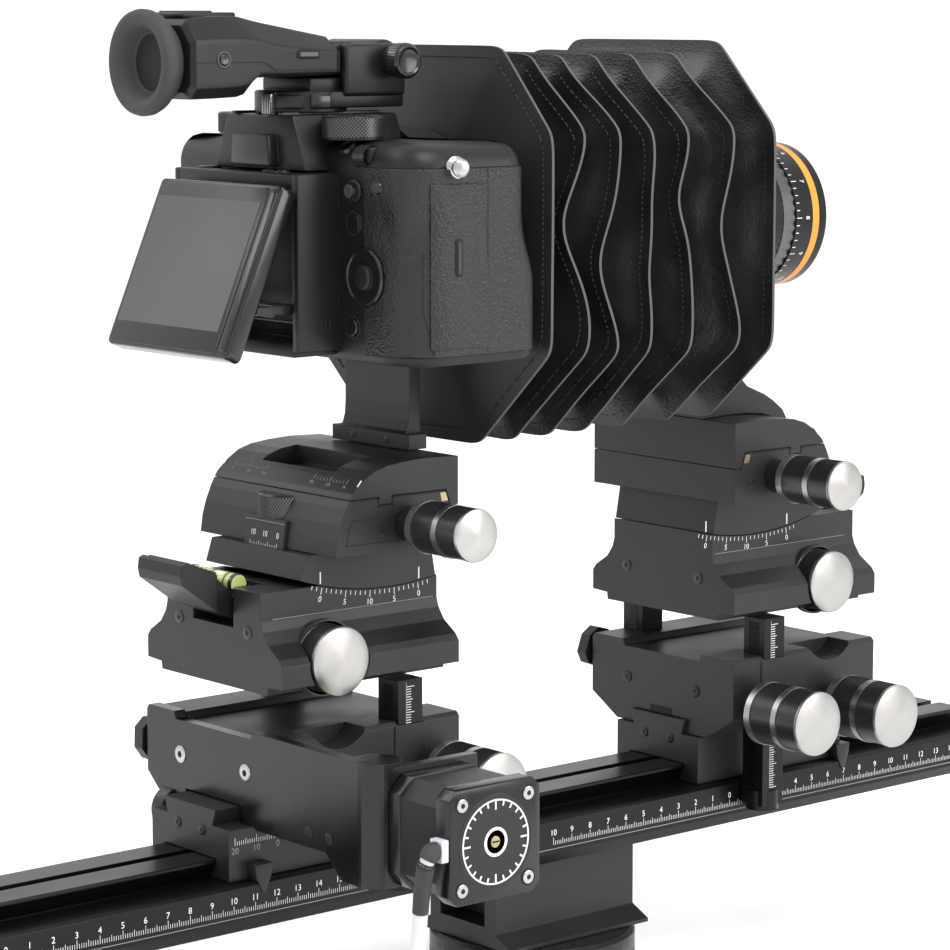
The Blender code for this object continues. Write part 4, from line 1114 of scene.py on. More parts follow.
# the shell's height, section by section: inset of its outline, z
SHELL_SECTIONS = (
    (0.0050, 0.2717), (0.0016, 0.2722), (0.0003, 0.2738), (0.0, 0.2756), (0.0, 0.2900), (0.0, 0.3000),
    (0.0, 0.3060), (0.0, 0.3120), (0.0, 0.3180), (0.0, 0.3260), (0.0, 0.3440), (0.0004, 0.3462),
    (0.0012, 0.3486), (0.0030, 0.3512), (0.0060, 0.3530), (0.0100, 0.3538))
DOOR_SPAN = (0.1160, 0.0916)
DOOR_Z = (0.2783, 0.3390)
THUMB_REST = ((0.020, 0.3290, 0.0016), (0.013, 0.3210, -0.0007))  # distance round, height, bulge


def bezier(start, control, end, steps):
    """Points of a quadratic curve."""
    found = []
    for k in range(steps + 1):
        t = k / steps
        found.append(tuple(a * (1 - t) ** 2 + b * 2 * t * (1 - t) + c * t * t
                           for a, b, c in zip(start, control, end)))
    return found


def grip_path():
    """The grip's plan line: along the rear, round the thumb's corner, along the side, round the front."""
    rear = [(-0.0480 - 0.0013 * k, BODY_REAR) for k in range(6)]
    corner = bezier((GRIP_X + 0.0200, BODY_REAR), (GRIP_X, BODY_REAR), (GRIP_X, BODY_REAR - 0.0200), 22)
    side = [(GRIP_X, BODY_REAR - 0.0200 - 0.0015 * k) for k in range(1, 19)]
    front = bezier((GRIP_X, 0.0780), (GRIP_X, BODY_FRONT), (GRIP_X + 0.0100, BODY_FRONT), 10)
    return rear + corner + side + front


def swelled(x, y, z):
    """The grip's front swells forward below the middle finger."""
    share = ease((0.1000 - y) / 0.0300) if x < -0.0450 else 0.0
    return Vector((x, y - 0.0058 * share * ease((0.3260 - z) / 0.0260), z))


def outward_normals(path):
    """The direction out of a plan line at each of its points."""
    found = []
    for i in range(len(path)):
        a, b = Vector(path[max(i - 1, 0)]), Vector(path[min(i + 1, len(path) - 1)])
        run = (b - a).normalized()
        found.append(Vector((run.y, -run.x)))
    return found


def thumb_bulge(travel, z):
    """How far the thumb rest lifts the leather, a distance round from the path's start."""
    return sum(lift * math.exp(-((travel - at) / 0.0060) ** 2 - ((z - height) / 0.0090) ** 2)
               for at, height, lift in THUMB_REST)


def cover(shape, path, z_span, low, high, look, shaped=True, rows=40):
    """A covering of real thickness that follows the grip's plan line."""
    normals = outward_normals(path)
    rings = []
    travel = 0.0
    for i, (point, normal) in enumerate(zip(path, normals)):
        if i:
            travel += (Vector(point) - Vector(path[i - 1])).length
        section = [(z_span[0], low), (z_span[0], high - 0.0003)]
        for k in range(rows + 1):
            section.append((mix(z_span[0] + 0.0004, z_span[1] - 0.0004, k / rows), high))
        section += [(z_span[1], high - 0.0003), (z_span[1], low)]
        ring = []
        for z, lift in section:
            bulge = thumb_bulge(travel, z) if shaped and lift == high else 0.0
            place = Vector(point) + normal * (lift + bulge)
            ring.append(swelled(place.x, place.y, z))
        rings.append(ring)
    shape.skin(rings, look)


def offset_outline(outline, inset):
    """A closed outline moved inwards."""
    found = []
    for i, point in enumerate(outline):
        a, b = Vector(outline[i - 1]), Vector(outline[(i + 1) % len(outline)])
        run = (b - a).normalized()
        found.append(tuple(Vector(point) - Vector((run.y, -run.x)) * inset))
    return found


def button(shape, at, out, radius, rise, look="gloss", rim=True):
    """A round button in a thin ring."""
    place = along(at, out)
    shape.lathe([(radius, -0.0004), (radius, rise * 0.7), (radius * 0.85, rise), (TINY, rise * 0.85)],
                place, look, 32)
    if rim:
        shape.ring(radius + 0.0003, radius + 0.0010, -0.0004, 0.0005, place, "rim", 32)


def line(shape, points, width, place, look="socket", lift=0.0001):
    """A thin line through (right, up) points."""
    for (u0, v0), (u1, v1) in zip(points, points[1:]):
        run = Vector((u1 - u0, v1 - v0)).normalized() * width / 2
        side = Vector((-run.y, run.x))
        corners = [(u0 - run.x + side.x, v0 - run.y + side.y), (u1 + run.x + side.x, v1 + run.y + side.y),
                   (u1 + run.x - side.x, v1 + run.y - side.y), (u0 - run.x - side.x, v0 - run.y - side.y)]
        shape.faces([place @ Vector((u, v, lift)) for u, v in corners], [(0, 1, 2, 3)], look)


def side_seam(shape, path, y, bend):
    """A dark groove up the grip's covering at one y."""
    normals = outward_normals(path)
    near = min(range(len(path)), key=lambda i: abs(path[i][1] - y) + (path[i][0] > -0.06))
    normal = normals[near]
    low = GRIP_LOW + 0.0009
    steps = 16

    def at(t):
        z = mix(low, GRIP_TOP, t)
        slip = bend * max(0.0, 1 - (z - low) / 0.016)
        place = Vector(path[near]) - Vector((normal.y, -normal.x)) * slip + normal * (LEATHER + 0.00002)
        return Vector((place.x, place.y, z))

    across = Vector((normal.y, -normal.x, 0)) * 0.00030
    for k in range(steps):
        a, b = at(k / steps), at((k + 1) / steps)
        shape.faces([a - across, a + across, b + across, b - across], [(0, 1, 2, 3)], "socket")


def make_camera_body():
    """Moulded shell with the leather grip, and the fixed details on its rear and shoulder."""
    path = grip_path()
    outline = path + [(-0.0520, 0.0697), (-0.0485, 0.0712), (-0.0470, 0.0740), (-0.0470, 0.0815),
                      (-0.0450, 0.0835), (0.0680, 0.0835), (0.0702, 0.0843), (0.0710, 0.0865),
                      (0.0710, 0.1220), (0.0702, 0.1242), (0.0680, BODY_REAR)]
    body = Shape("camera_shell")
    body.skin([[swelled(x, y, z) for x, y in offset_outline(outline, inset)]
               for inset, z in SHELL_SECTIONS], "plastic")
    cover(body, path, (GRIP_LOW, GRIP_TOP), -0.0004, LEATHER, "pebble")
    for y, bend in SEAMS:
        side_seam(body, path, y, bend)
    line(body, [(0.0480, 0.2765), (0.0480, 0.3440)], 0.0004, rear_face(BODY_REAR + 0.0002))
    button(body, (-0.0415, BODY_REAR, 0.3237), REAR, 0.0036, 0.0009)
    button(body, (-0.0560, BODY_REAR, 0.3375), (-0.25, 1, 0), 0.0022, 0.0016)
    body.lathe([(0.0042, -0.0010), (0.0042, 0.0006), (0.0030, 0.0014), (0.0024, 0.0016),
                (0.0022, 0.0034), (0.0034, 0.0042), (0.0034, 0.0052), (0.0026, 0.0060),
                (TINY, 0.0064)], along((-0.0758, 0.1050, 0.3450), (-1, 0.25, 0)), "steel", 32)
    body.lathe([(0.0310, 0), (0.0310, 0.0080)], along((0, 0.0760, OPTICAL_Z), REAR), "steel", 64)
    shoulder = along((-0.0335, 0.1215, 0.3510), (0, 0.6, 0.8))
    body.ring(0.0028, 0.0036, 0.0, 0.0016, shoulder, "rim", 28)
    body.lathe([(0.0027, 0), (0.0027, 0.0012), (TINY, 0.0013)], shoulder, "gloss", 28)
    body.block((-0.0510, 0.1190, 0.3450), (-0.0402, 0.1246, 0.3520), "socket", 0.0008, 2)
    body.knurled(0.0044, 0.0006, 0.0010, 0.0076, along((-0.0500, 0.1226, 0.3484), FAR), "rim", 15, 2)
    button(body, (-0.0570, 0.1205, 0.3500), (-0.1, 0.7, 0.7), 0.0024, 0.0010)
    settle(body, "rear_shift", ["camera_body"])
    make_housing()
    make_door(path)


# walls of the hollow frame behind the body: two corners in x and z, and how deep it is
HOUSING_WALLS = (
    (-0.0330, 0.2760, -0.0292, 0.3420, 0.1450), (0.0412, 0.2760, 0.0450, 0.3420, 0.1450),
    (-0.0300, 0.3360, 0.0420, 0.3420, 0.1450), (-0.0300, 0.2740, 0.0420, 0.2790, 0.1450),
    (-0.0300, 0.2785, 0.0420, 0.3365, 0.1275))
HUMP_X = 0.0025  # the hump's middle


def make_housing():
    """Hollow frame behind the body that the screen tilts out of, and the hump above it."""
    housing = Shape("camera_housing")
    for x0, z0, x1, z1, end in HOUSING_WALLS:
        housing.block((x0, 0.1240, z0), (x1, end, z1), "plastic", 0.0007, 2)
    for z in (0.2840, 0.2890):
        housing.block((-0.0280, 0.1270, z), (0.0400, 0.1290, z + 0.0012), "gloss", 0.0003, 1)
    side = near_face(HOUSING_WALLS[0][0])
    for u in (-0.1346, -0.1325, -0.1304):
        line(housing, [(u, 0.2832), (u, 0.2868)], 0.0008, side, lift=0.0002)
    line(housing, [(-0.1260, 0.2775), (-0.1260, 0.3400)], 0.0003, side, "rim", 0.00015)
    for x, radius in ((0.0330, 0.0038), (-0.0060, 0.0022), (-0.0140, 0.0022)):
        button(housing, (x, 0.1370, 0.3420), UP, radius, 0.0010)
    across = facing((0, 0, 0), FAR, UP)
    housing.prism([(-0.0260, 0.3425), (-0.0184, 0.3632), (0.0226, 0.3632), (0.0310, 0.3425)], across,
                  -0.1360, -0.0860, "plastic", 0.0010, 2)
    housing.prism([(-0.0100, 0.3440), (-0.0085, 0.3560), (0.0135, 0.3560), (0.0150, 0.3440)], across,
                  -0.1405, -0.1340, "gloss", 0.0008, 2)
    for x in (HUMP_X - 0.0145, HUMP_X + 0.0145):
        housing.block((x - 0.0012, 0.0900, 0.3630), (x + 0.0012, 0.1370, 0.3642), "rim", 0.0003, 1)
    settle(housing, "rear_shift", ["camera_body"])


def make_door(path):
    """Leather-covered card door in the grip's side, with its finger slot."""
    door = Shape("card_door_cover")
    span = [p for p in path if DOOR_SPAN[1] - 0.0008 <= p[1] <= DOOR_SPAN[0] + 0.0008 and p[0] < -0.07]
    cover(door, span, DOOR_Z, 0.0007, 0.0014, "pebble", False, 10)
    slot = near_face(-0.0775)
    outline = rounded_rectangle(-0.1062, 0.3050, -0.1030, 0.3190, 0.0012, 5)
    door.prism(outline, slot, -0.0002, 0.00025, "socket")
    inner = [(mix(u, -0.1046, 0.45), mix(v, 0.3120, 0.14)) for u, v in outline]
    door.prism(inner, slot, 0.0, 0.0006, "rim", 0.0002, 1)
    settle(door, "card_door", ["card_door"])


SCREEN_TOP = (0, 0.1500, 0.3360)
SCREEN_TILT = math.radians(23.5)
SCREEN_HINGE = (0.1385, 0.2920)
DIAL_BASE, DIAL_HEIGHT = 0.3543, 0.0087
MENU_CENTRE = (-0.0487, 0.3042)


def make_screen():
    """Tilted screen in its frame, and the links that hold it."""
    up = (0, -math.sin(SCREEN_TILT), math.cos(SCREEN_TILT))
    place = facing(SCREEN_TOP, NEAR, up)
    panel = Shape("monitor_case")
    outline = rounded_outline([(-0.0415, -0.0665, 0.0030), (0.0355, -0.0665, 0.0030),
                               (0.0355, 0.0010, 0.0024), (-0.0415, 0.0010, 0.0024)], 6)
    panel.prism(outline, place, -0.0030, 0.0040, "gloss", 0.0009, 3)
    bezel = rounded_outline([(-0.0403, -0.0652, 0.0022), (0.0288, -0.0652, 0.0022),
                             (0.0288, -0.0004, 0.0018), (-0.0403, -0.0004, 0.0018)], 5)
    panel.prism(bezel, place, 0.0030, 0.0044, "screen", 0.0003, 2)
    panel.prism(rectangle(-0.0385, -0.0570, 0.0262, -0.0062), place, 0.0040, 0.0046, "display")
    panel.prism(rectangle(0.0300, -0.0640, 0.0342, -0.0020), place, 0.0036, 0.0050, "gloss", 0.0006, 3)
    back = facing(SCREEN_TOP, FAR, up)
    panel.prism(rectangle(-0.0300, -0.0600, 0.0360, -0.0060), back, 0.0028, 0.0036, "plastic", 0.0003, 1)
    settle(panel, "monitor_panel", ["monitor_panel"])
    arm = Shape("monitor_links")
    outline = rounded_outline([(-0.0020, -0.0026, 0.0010), (0.0120, -0.0018, 0.0006),
                               (0.0140, -0.0030, 0.0006), (0.0210, -0.0016, 0.0010),
                               (0.0210, 0.0012, 0.0010), (-0.0020, 0.0018, 0.0010)], 4)
    for x in (-0.0262, 0.0330):
        arm.prism(outline, facing((x, *SCREEN_HINGE), REAR, UP), -0.0008, 0.0008, "rim", 0.0002, 1)
        arm.screw((x - 0.0009, *SCREEN_HINGE), NEAR, 0.0019)
    arm.lathe([(0.0011, -0.0270), (0.0011, 0.0335)], along((0, *SCREEN_HINGE), FAR), "rim", 16)
    settle(arm, "monitor_arm", ["monitor_arm"])


def make_dial(name, x, y):
    """A finely knurled dial with a dozen marks on its top."""
    dial = Shape(f"{name}_top")
    place = along((x, y, DIAL_BASE), UP)
    dial.lathe([(0.0112, 0), (0.0112, 0.0009), (0.0114, 0.0010)], place, "knurl", 48)
    dial.knurled(0.0120, 0.0005, 0.0010, 0.0080, place, "knurl", 52, 10)
    dial.lathe([(0.0117, 0.0080), (0.0112, 0.0086), (0.0100, DIAL_HEIGHT), (TINY, DIAL_HEIGHT)], place,
               "knurl", 48)
    for k in range(12):
        out, right = spoke(math.tau * k / 12)
        dial.mark((0.0078, -0.0002), (0.0098, 0.0002), facing((x, y, DIAL_BASE + DIAL_HEIGHT), out, right))
    settle(dial, name, [name], at=(x, y, DIAL_BASE))


def make_controls():
    """Dials on the top plate; menu wheel, joystick and display key on the rear."""
    make_dial("dial_right", -0.0310, 0.1170)
    make_dial("dial_left", 0.0360, 0.1160)
    rear = BODY_REAR + 0.0003
    pad = Shape("menu_wheel")
    x, z = MENU_CENTRE
    place = along((x, rear, z), REAR)
    pad.lathe([(0.0110, 0.0006), (0.0110, 0.0010), (0.0104, 0.0018), (0.0096, 0.0019),
               (0.0090, 0.0014), (0.0048, 0.0010)], place, "gloss", 64)
    pad.lathe([(0.0048, 0.0008), (0.0047, 0.0022), (0.0040, 0.0026), (TINY, 0.0025)], place, "screen", 48)
    for k in range(4):
        out, right = spoke(math.tau * (k + 0.5) / 4, "Y")
        line(pad, [(-0.0052, 0), (-0.0092, 0)], 0.0005, facing((x, rear + 0.0013, z), -out, -right), "rim",
             0.0004)
    settle(pad, "menu_pad", ["menu_pad"])
    stick = Shape("joystick_cap")
    place = along((-0.0418, rear, 0.3358), REAR)
    stick.lathe([(0.0042, 0.0001), (0.0042, 0.0005), (0.0034, 0.0007), (0.0030, 0.0004)], place, "rim", 32)
    stick.lathe([(0.0012, 0), (0.0012, 0.0016), (0.0024, 0.0022), (0.0026, 0.0030), (0.0018, 0.0033),
                 (TINY, 0.0028)], place, "rubber", 24)
    settle(stick, "joystick", ["joystick"])
    key = Shape("display_key")
    button(key, (-0.0408, rear - 0.0002, 0.2851), REAR, 0.0034, 0.0014)
    settle(key, "display_button", ["display_button"])


# --- electronic viewfinder ----------------------------------------------------------------------
EVF_AXIS = (0.0900, 0.3830)
SWIVEL_CENTRE = Vector((0, 0.1180, 0))
TURRET = 0.0175  # radius of the viewfinder's swivelling turret
TURRET_FOOT = Vector((0, 0, 0.3635))
EVF_SIDE = -0.0200
EVF_LINE = ((-0.1805, 0.3830), (-0.1500, 0.3830), (-0.1447, 0.3800), (-0.1152, 0.3800))
# sections from the eye end: y, bottom, lower corner, upper corner, top, half width, half top width
EVF_SECTIONS = [
    (0.1822, 0.3722, 0.3750, 0.3895, 0.3965, 0.0185, 0.0125),
    (0.1805, 0.3697, 0.3738, 0.3912, 0.3988, 0.0200, 0.0138),
    (0.1700, 0.3699, 0.3740, 0.3915, 0.3999, 0.0202, 0.0138),
    (0.1600, 0.3703, 0.3745, 0.3915, 0.3999, 0.0202, 0.0138),
    (0.1568, 0.3712, 0.3752, 0.3914, 0.3996, 0.0202, 0.0136),
    (0.1512, 0.3772, 0.3788, 0.3908, 0.3984, 0.0202, 0.0130),
    (0.1460, 0.3773, 0.3788, 0.3892, 0.3974, 0.0200, 0.0128),
    (0.1364, 0.3774, 0.3788, 0.3880, 0.3958, 0.0200, 0.0124),
    (0.1152, 0.3778, 0.3790, 0.3866, 0.3922, 0.0198, 0.0120)]


def evf_ring(section):
    """A section of the viewfinder with eight softened corners."""
    y, bottom, low, high, top, half, crown = section
    corners = [(-half + 0.004, bottom), (half - 0.004, bottom), (half, low), (half, high), (crown, top),
               (-crown, top), (-half, high), (-half, low)]
    ring = []
    for i, (x, z) in enumerate(corners):
        before, after = Vector(corners[i - 1]), Vector(corners[(i + 1) % 8])
        here = Vector((x, z))
        for t, other in ((0.12, before), (0.03, before), (0.03, after), (0.12, after)):
            spot = here.lerp(other, t)
            ring.append(Vector((spot.x, y, spot.y)))
    return ring


def make_viewfinder():
    """Tilting viewfinder with its eyecup and lock knob, and the turret below it."""
    evf = Shape("evf_housing")
    evf.skin([evf_ring(section) for section in EVF_SECTIONS], "plastic")
    evf.block((-0.0160, 0.1050, 0.3780), (0.0160, 0.1160, 0.3905), "plastic", 0.0012, 2)
    evf.block((-0.0158, 0.0900, 0.3775), (0.0158, 0.1080, 0.3888), "plastic", 0.0008, 2)
    evf.lathe([(TINY, -0.0158), (0.0078, -0.0158), (0.0080, -0.0150), (0.0080, 0.0150),
               (0.0078, 0.0158), (TINY, 0.0158)], along((0, *EVF_AXIS), FAR), "plastic", 40)
    evf.block((-0.0110, 0.1560, 0.3990), (0.0110, 0.1800, 0.4012), "plastic", 0.0008, 2)
    for k in range(5):
        evf.block((-0.0100, 0.1660 + 0.0022 * k, 0.4008), (0.0100, 0.1670 + 0.0022 * k, 0.4018),
                  "rim", 0.0002, 1)
    line(evf, EVF_LINE, 0.00035, near_face(EVF_SIDE - 0.0002))
    line(evf, [(-0.1152, 0.3795), (-0.1152, 0.3866)], 0.0006, near_face(EVF_SIDE - 0.0002))
    button(evf, (EVF_SIDE, 0.1683, 0.3841), NEAR, 0.0021, 0.0010)
    side = near_face(EVF_SIDE)
    slide = rounded_rectangle(-0.1349, 0.3842, -0.1242, 0.3872, 0.0012, 5)
    evf.prism(slide, side, -0.0004, 0.0003, "socket")
    evf.prism([(mix(u, -0.12955, 0.16), mix(v, 0.3857, 0.3)) for u, v in slide], side, 0.0, 0.0008,
              "gloss", 0.0002, 1)
    settle(evf, "evf", ["evf_body"])
    cup = Shape("evf_cup")
    place = along((0, 0.1823, 0.3830), REAR)
    cup.lathe([(0.0120, 0.0), (0.0150, 0.0), (0.0156, 0.0010), (0.0152, 0.0022), (0.0168, 0.0030),
               (0.0184, 0.0042), (0.0193, 0.0060), (0.0195, 0.0082), (0.0190, 0.0099),
               (0.0176, 0.0108), (0.0160, 0.0106), (0.0142, 0.0096), (0.0126, 0.0076),
               (0.0114, 0.0050), (0.0104, 0.0034)], place, "rubber", 72)
    cup.lathe([(0.0108, 0.0036), (0.0098, 0.0020), (0.0080, 0.0012), (0.0078, 0.0006)], place, "socket", 48)
    cup.lathe([(0.0080, 0.0008), (0.0050, 0.0016), (TINY, 0.0019)], place, "gloss", 40)
    settle(cup, "evf", ["evf_eyecup"], math.radians(70))
    knob = Shape("evf_lock_cap")
    place = along((0, *EVF_AXIS), NEAR)
    knob.lathe([(0.0056, 0.0206), (0.0062, 0.0250), (0.0066, 0.0252)], place, "knurl", 40)
    knob.knurled(0.0068, 0.0004, 0.0252, 0.0298, place, "knurl", 34, 1)
    knob.lathe([(0.0066, 0.0298), (0.0060, 0.0308), (0.0052, 0.0311), (0.0046, 0.0305),
                (0.0042, 0.0303), (TINY, 0.0306)], place, "gloss", 40)
    settle(knob, "evf_lock_knob", ["evf_lock_knob"], at=(-0.0243, *EVF_AXIS))
    make_swivel()


def make_swivel():
    """Turret on the hump, with its fork, connector and two catches."""
    swivel = Shape("evf_turret")
    place = along(SWIVEL_CENTRE + TURRET_FOOT, UP)
    swivel.lathe([(TINY, 0.0002), (TURRET - 0.0004, 0.0002), (TURRET, 0.0007), (TURRET, 0.0078),
                  (TURRET - 0.0006, 0.0085), (TINY, 0.0085)], place, "plastic", 72)
    swivel.block((-0.0185, 0.0825, 0.3655), (0.0185, 0.1180, 0.3718), "plastic", 0.0010, 2)
    swivel.block((-0.0150, 0.0900, 0.3715), (0.0150, 0.1250, 0.3768), "plastic", 0.0010, 2)
    for sign in (-1, 1):
        low, high = sorted((sign * 0.0166, sign * 0.0204))
        swivel.block((low, 0.0830, 0.3700), (high, 0.1120, 0.3895), "plastic", 0.0014, 3)
    for degree, width, look in ((101, 0.0062, "rim"), (128, 0.0105, "screen"), (168, 0.0085, "gloss")):
        out, right = spoke(math.radians(degree))
        spot = facing(SWIVEL_CENTRE + out * (TURRET - 0.0002) + Vector((0, 0, 0.3680)), right, UP)
        half = width / 2
        if look != "rim":
            swivel.prism(rectangle(-half, -0.0026, half, 0.0026), spot, -0.0020, 0.0006, look, 0.0006, 3)
            continue
        swivel.prism(rectangle(-half, -0.0062, half, 0.0036), spot, -0.0030, 0.0008, "gloss", 0.0005, 2)
        for k in range(5):
            u = -half + 0.0008 + k * (width - 0.0026) / 4
            swivel.prism(rectangle(u, -0.0048, u + 0.0009, 0.0030), spot, 0.0, 0.0022, "steel", 0.0003, 2)
    settle(swivel, "evf_swivel", ["evf_swivel"])


# --- lens ---------------------------------------------------------------------------------------
FOCUS_RADIUS = 0.0305
BARREL_RADIUS = 0.0300


def on_lens(turn, radius, y=0.0):
    """A place on the lens, drawn with up towards the front."""
    out, right = spoke(turn, "Y")
    return facing(out * radius + Vector((0, y, LENS_Z)), right, FRONT)


def make_lens():
    """Focus ring with its scale, barrel and glass."""
    place = along((0, 0, LENS_Z), FRONT)
    ring = Shape("lens_focus_grip")
    ring.lathe([(0.0243, 0.0988), (0.0300, 0.0988), (FOCUS_RADIUS, 0.0994), (FOCUS_RADIUS, 0.1004)],
               place, "lens", 80)
    ring.knurled(FOCUS_RADIUS, 0.0005, 0.1004, 0.1130, place, "lens", 60, 1)
    ring.lathe([(FOCUS_RADIUS, 0.1130), (0.0298, 0.1133)], place, "lens", 80)
    ring.knurled(0.0301, 0.0008, 0.1133, 0.1202, place, "ribbed", 44, 1)
    ring.lathe([(0.0298, 0.1202), (FOCUS_RADIUS, 0.1204), (FOCUS_RADIUS, 0.1302), (0.0306, 0.1303),
                (0.0306, 0.1341), (FOCUS_RADIUS, 0.1342), (FOCUS_RADIUS, 0.1384), (0.0298, 0.1393),
                (0.0282, 0.1394), (0.0270, 0.1380), (0.0258, 0.1352), (0.0243, 0.1340)], place,
               ["lens"] * 3 + ["orange"] + ["lens"] * 7, 96)
    for k in range(60):
        turn = math.tau * k / 60
        ring.tick(0, 0.00016, 0.1208, 0.1226 if k % 5 else 0.1238, on_lens(turn, FOCUS_RADIUS))
        if k % 5 == 0:
            ring.write(str(2 + k // 5), 0.0022, on_lens(turn, FOCUS_RADIUS, -0.1272))
    settle(ring, "lens_focus_ring", ["lens_focus_ring"], at=(0, -0.1190, LENS_Z))
    barrel = Shape("lens_tube")
    barrel.lathe([(0.0225, 0.0683), (0.0272, 0.0683), (0.0272, 0.0836), (BARREL_RADIUS, 0.0838),
                  (BARREL_RADIUS, 0.0965), (0.0292, 0.0975), (0.0240, 0.0984), (0.0240, 0.1391)], place,
                 "lens", 80)
    for depth, radius in ((0.1320, 0.0238), (0.1330, 0.0232), (0.1310, 0.0226)):
        barrel.ring(radius - 0.0010, radius + 0.0008, depth, depth + 0.0010, place, "gloss", 64)
    for k in range(36):
        barrel.tick(0, 0.00014, 0.0925, 0.0950, on_lens(math.tau * k / 36, BARREL_RADIUS), "dim_ink")
    settle(barrel, "front_shift", ["lens_barrel"])
    glass = Shape("lens_elements")
    glass.lathe([(0.0222, 0.1263), (0.0218, 0.1285), (0.0150, 0.1305), (0.0080, 0.1318),
                 (TINY, 0.1323)], place, "glass", 64)
    glass.lathe([(0.0220, 0.1230), (0.0120, 0.1250), (TINY, 0.1256)], place, "glass", 48)
    settle(glass, "front_shift", ["lens_glass"], math.radians(70))


# --- details of the standards -------------------------------------------------------------------
class Side:
    """A standard's own directions: reaches along Y run outward from its plane line."""

    def __init__(self, name, plane, outward):
        self.name = name
        self.plane = plane
        self.outward = outward
        self.out = (0, outward, 0)
        self.inward = (0, -outward, 0)

    def y(self, reach):
        return self.plane + self.outward * reach

    def slab(self, shape, x_span, reach_span, z_span, look, bevel=0.0003):
        low, high = sorted(map(self.y, reach_span))
        shape.block((x_span[0], low, z_span[0]), (x_span[1], high, z_span[1]), look, bevel, 1)

    def end(self, reach, z=0.0, lean=0.0):
        """A surface facing outward along Y, leaning back from upright by an angle in degrees."""
        turn = math.radians(lean)
        up = (0, -self.outward * math.sin(turn), math.cos(turn))
        return facing((0, self.y(reach), z), (-self.outward, 0, 0), up)


SHIFT_ZERO = 0.0352  # the shift scale's zeros, either side of the middle
SHIFT_POINTER = 0.0424
SWING_MARKS = 13
SWING_MARK_PITCH = 0.0014


def make_shift_details(side):
    """Numbered strip along the slide's curved edge."""
    strip = Shape(f"{side.name}_shift_scale")
    place = side.end(0.0246, 0.2250, 42)
    for end in (-1, 1):
        for mm in range(0, 21, 2):
            u = end * (SHIFT_ZERO - mm * MILLIMETRE)
            strip.tick(u, 0.00012, 0.0004, 0.0018 if mm % 10 else 0.0028, place, "dim_ink")
            if mm % 10 == 0:
                strip.write(str(mm), 0.0020, place @ Matrix.Translation((u, -0.0014, 0)), "dim_ink")
        strip.tick(end * SHIFT_POINTER, 0.0004, 0.0002, 0.0032, place)
    settle(strip, f"{side.name}_shift")


def make_swing_wheel(side):
    """Knurled wheel between the slide and the swing block, its scale plate, and the marks below."""
    wheel = Shape(f"{side.name}_swing_wheel")
    turned = along((0, side.y(0.0238), 0), UP)
    wheel.knurled(0.0126, KNURL_DEPTH, 0.2098, 0.2180, turned, "knurl", 62, 10)
    wheel.lathe([(0.0125, 0.2180), (0.0118, 0.2187), (TINY, 0.2187)], turned, "rim", 60)
    lower = side.end(0.0353, 0.2036, 8)
    wheel.prism(rectangle(-0.0125, -0.0062, 0.0125, 0.0062), lower, -0.0010, 0.0012, "anodised", 0.0003, 1)
    face = lower @ Matrix.Translation((0, 0, 0.0012))
    wheel.mark((-0.0125, 0.0046), (0.0125, 0.0048), face, "dim_ink")
    for k in range(SWING_MARKS):
        top = -0.0039 if k % 4 else -0.0032
        wheel.tick((k - SWING_MARKS // 2) * SWING_MARK_PITCH, 0.00012, -0.0052, top, face)
    for u, text in ((-0.0070, "10"), (0.0005, "10"), (0.0085, "0")):
        wheel.write(text, 0.0022, face @ Matrix.Translation((u, -0.0002, 0)))
    settle(wheel, f"{side.name}_swing")
    marks = Shape(f"{side.name}_swing_index")
    for u in (-0.0095, 0.0080):
        marks.tick(u, 0.0004, 0.1935, 0.1970, side.end(0.0396))
    settle(marks, f"{side.name}_tilt")


def make_swing_details(side):
    """Outline of the recessed panel and the groove, drawn as near-black lines of painted shade, and the
    bronze gib on the swing block's -X face.
    """
    block = Shape(f"{side.name}_swing_plate")
    face = near_face(-0.0430, side.y(0))
    sign = -side.outward
    panel = [(sign * 0.0030, 0.2032), (sign * 0.0305, 0.2032), (sign * 0.0290, 0.2100),
             (sign * 0.0270, 0.2126), (sign * 0.0030, 0.2126)]
    # near-black lines: painted shade along the panel's step and in the groove, which have no depth here
    line(block, panel + panel[:1], 0.0004, face)
    line(block, [(sign * -0.0236, 0.2134), (sign * -0.0205, 0.2134), (sign * -0.0181, 0.2198),
                 (sign * 0.0080, 0.2199), (sign * 0.0080, 0.2168), (sign * 0.0150, 0.2168),
                 (sign * 0.0150, 0.2198), (sign * 0.0285, 0.2198)], 0.0006, face)
    gib = [(sign * -0.0198, 0.2160), (sign * -0.0160, 0.2160), (sign * -0.0152, 0.2194),
           (sign * -0.0182, 0.2194)]
    block.prism(gib, face, -0.0010, 0.0001, "brass")
    for reach in (-0.0140, 0.0140):
        block.screw((-0.0431, side.y(reach), 0.2070), NEAR, 0.0016, "knurl")
    block.screw((0.0431, side.y(-0.0100), 0.2070), FAR, 0.0020, "knurl")
    settle(block, f"{side.name}_swing")


def make_tilt_details(side):
    """Screws at the tilt block's ends, the lever's ridges and the knob seat's rim."""
    block = Shape(f"{side.name}_tilt_screws")
    block.screw_pair(0.0220, side.y(0.0611), 0.1712, side.out, 0.0026, "rim")
    block.screw_pair(0.0220, side.y(-0.0243), 0.1655, side.inward, 0.0026, "rim")
    place = along((-0.0345, side.y(0.0339), 0.1602), NEAR)
    block.ring(0.0140, 0.0148, -0.0020, 0.0004, place, "rim", 48)
    settle(block, f"{side.name}_rise")
    lever = Shape(f"{side.name}_level_grip")
    for k in range(7):
        reach, z = 0.0690 + 0.0020 * k, 0.1932 + 0.0008 * k
        side.slab(lever, (-0.0128, 0.0128), (reach - 0.0006, reach + 0.0006), (z - 0.0012, z + 0.0007),
                  "gloss")
    settle(lever, f"{side.name}_level_lever")


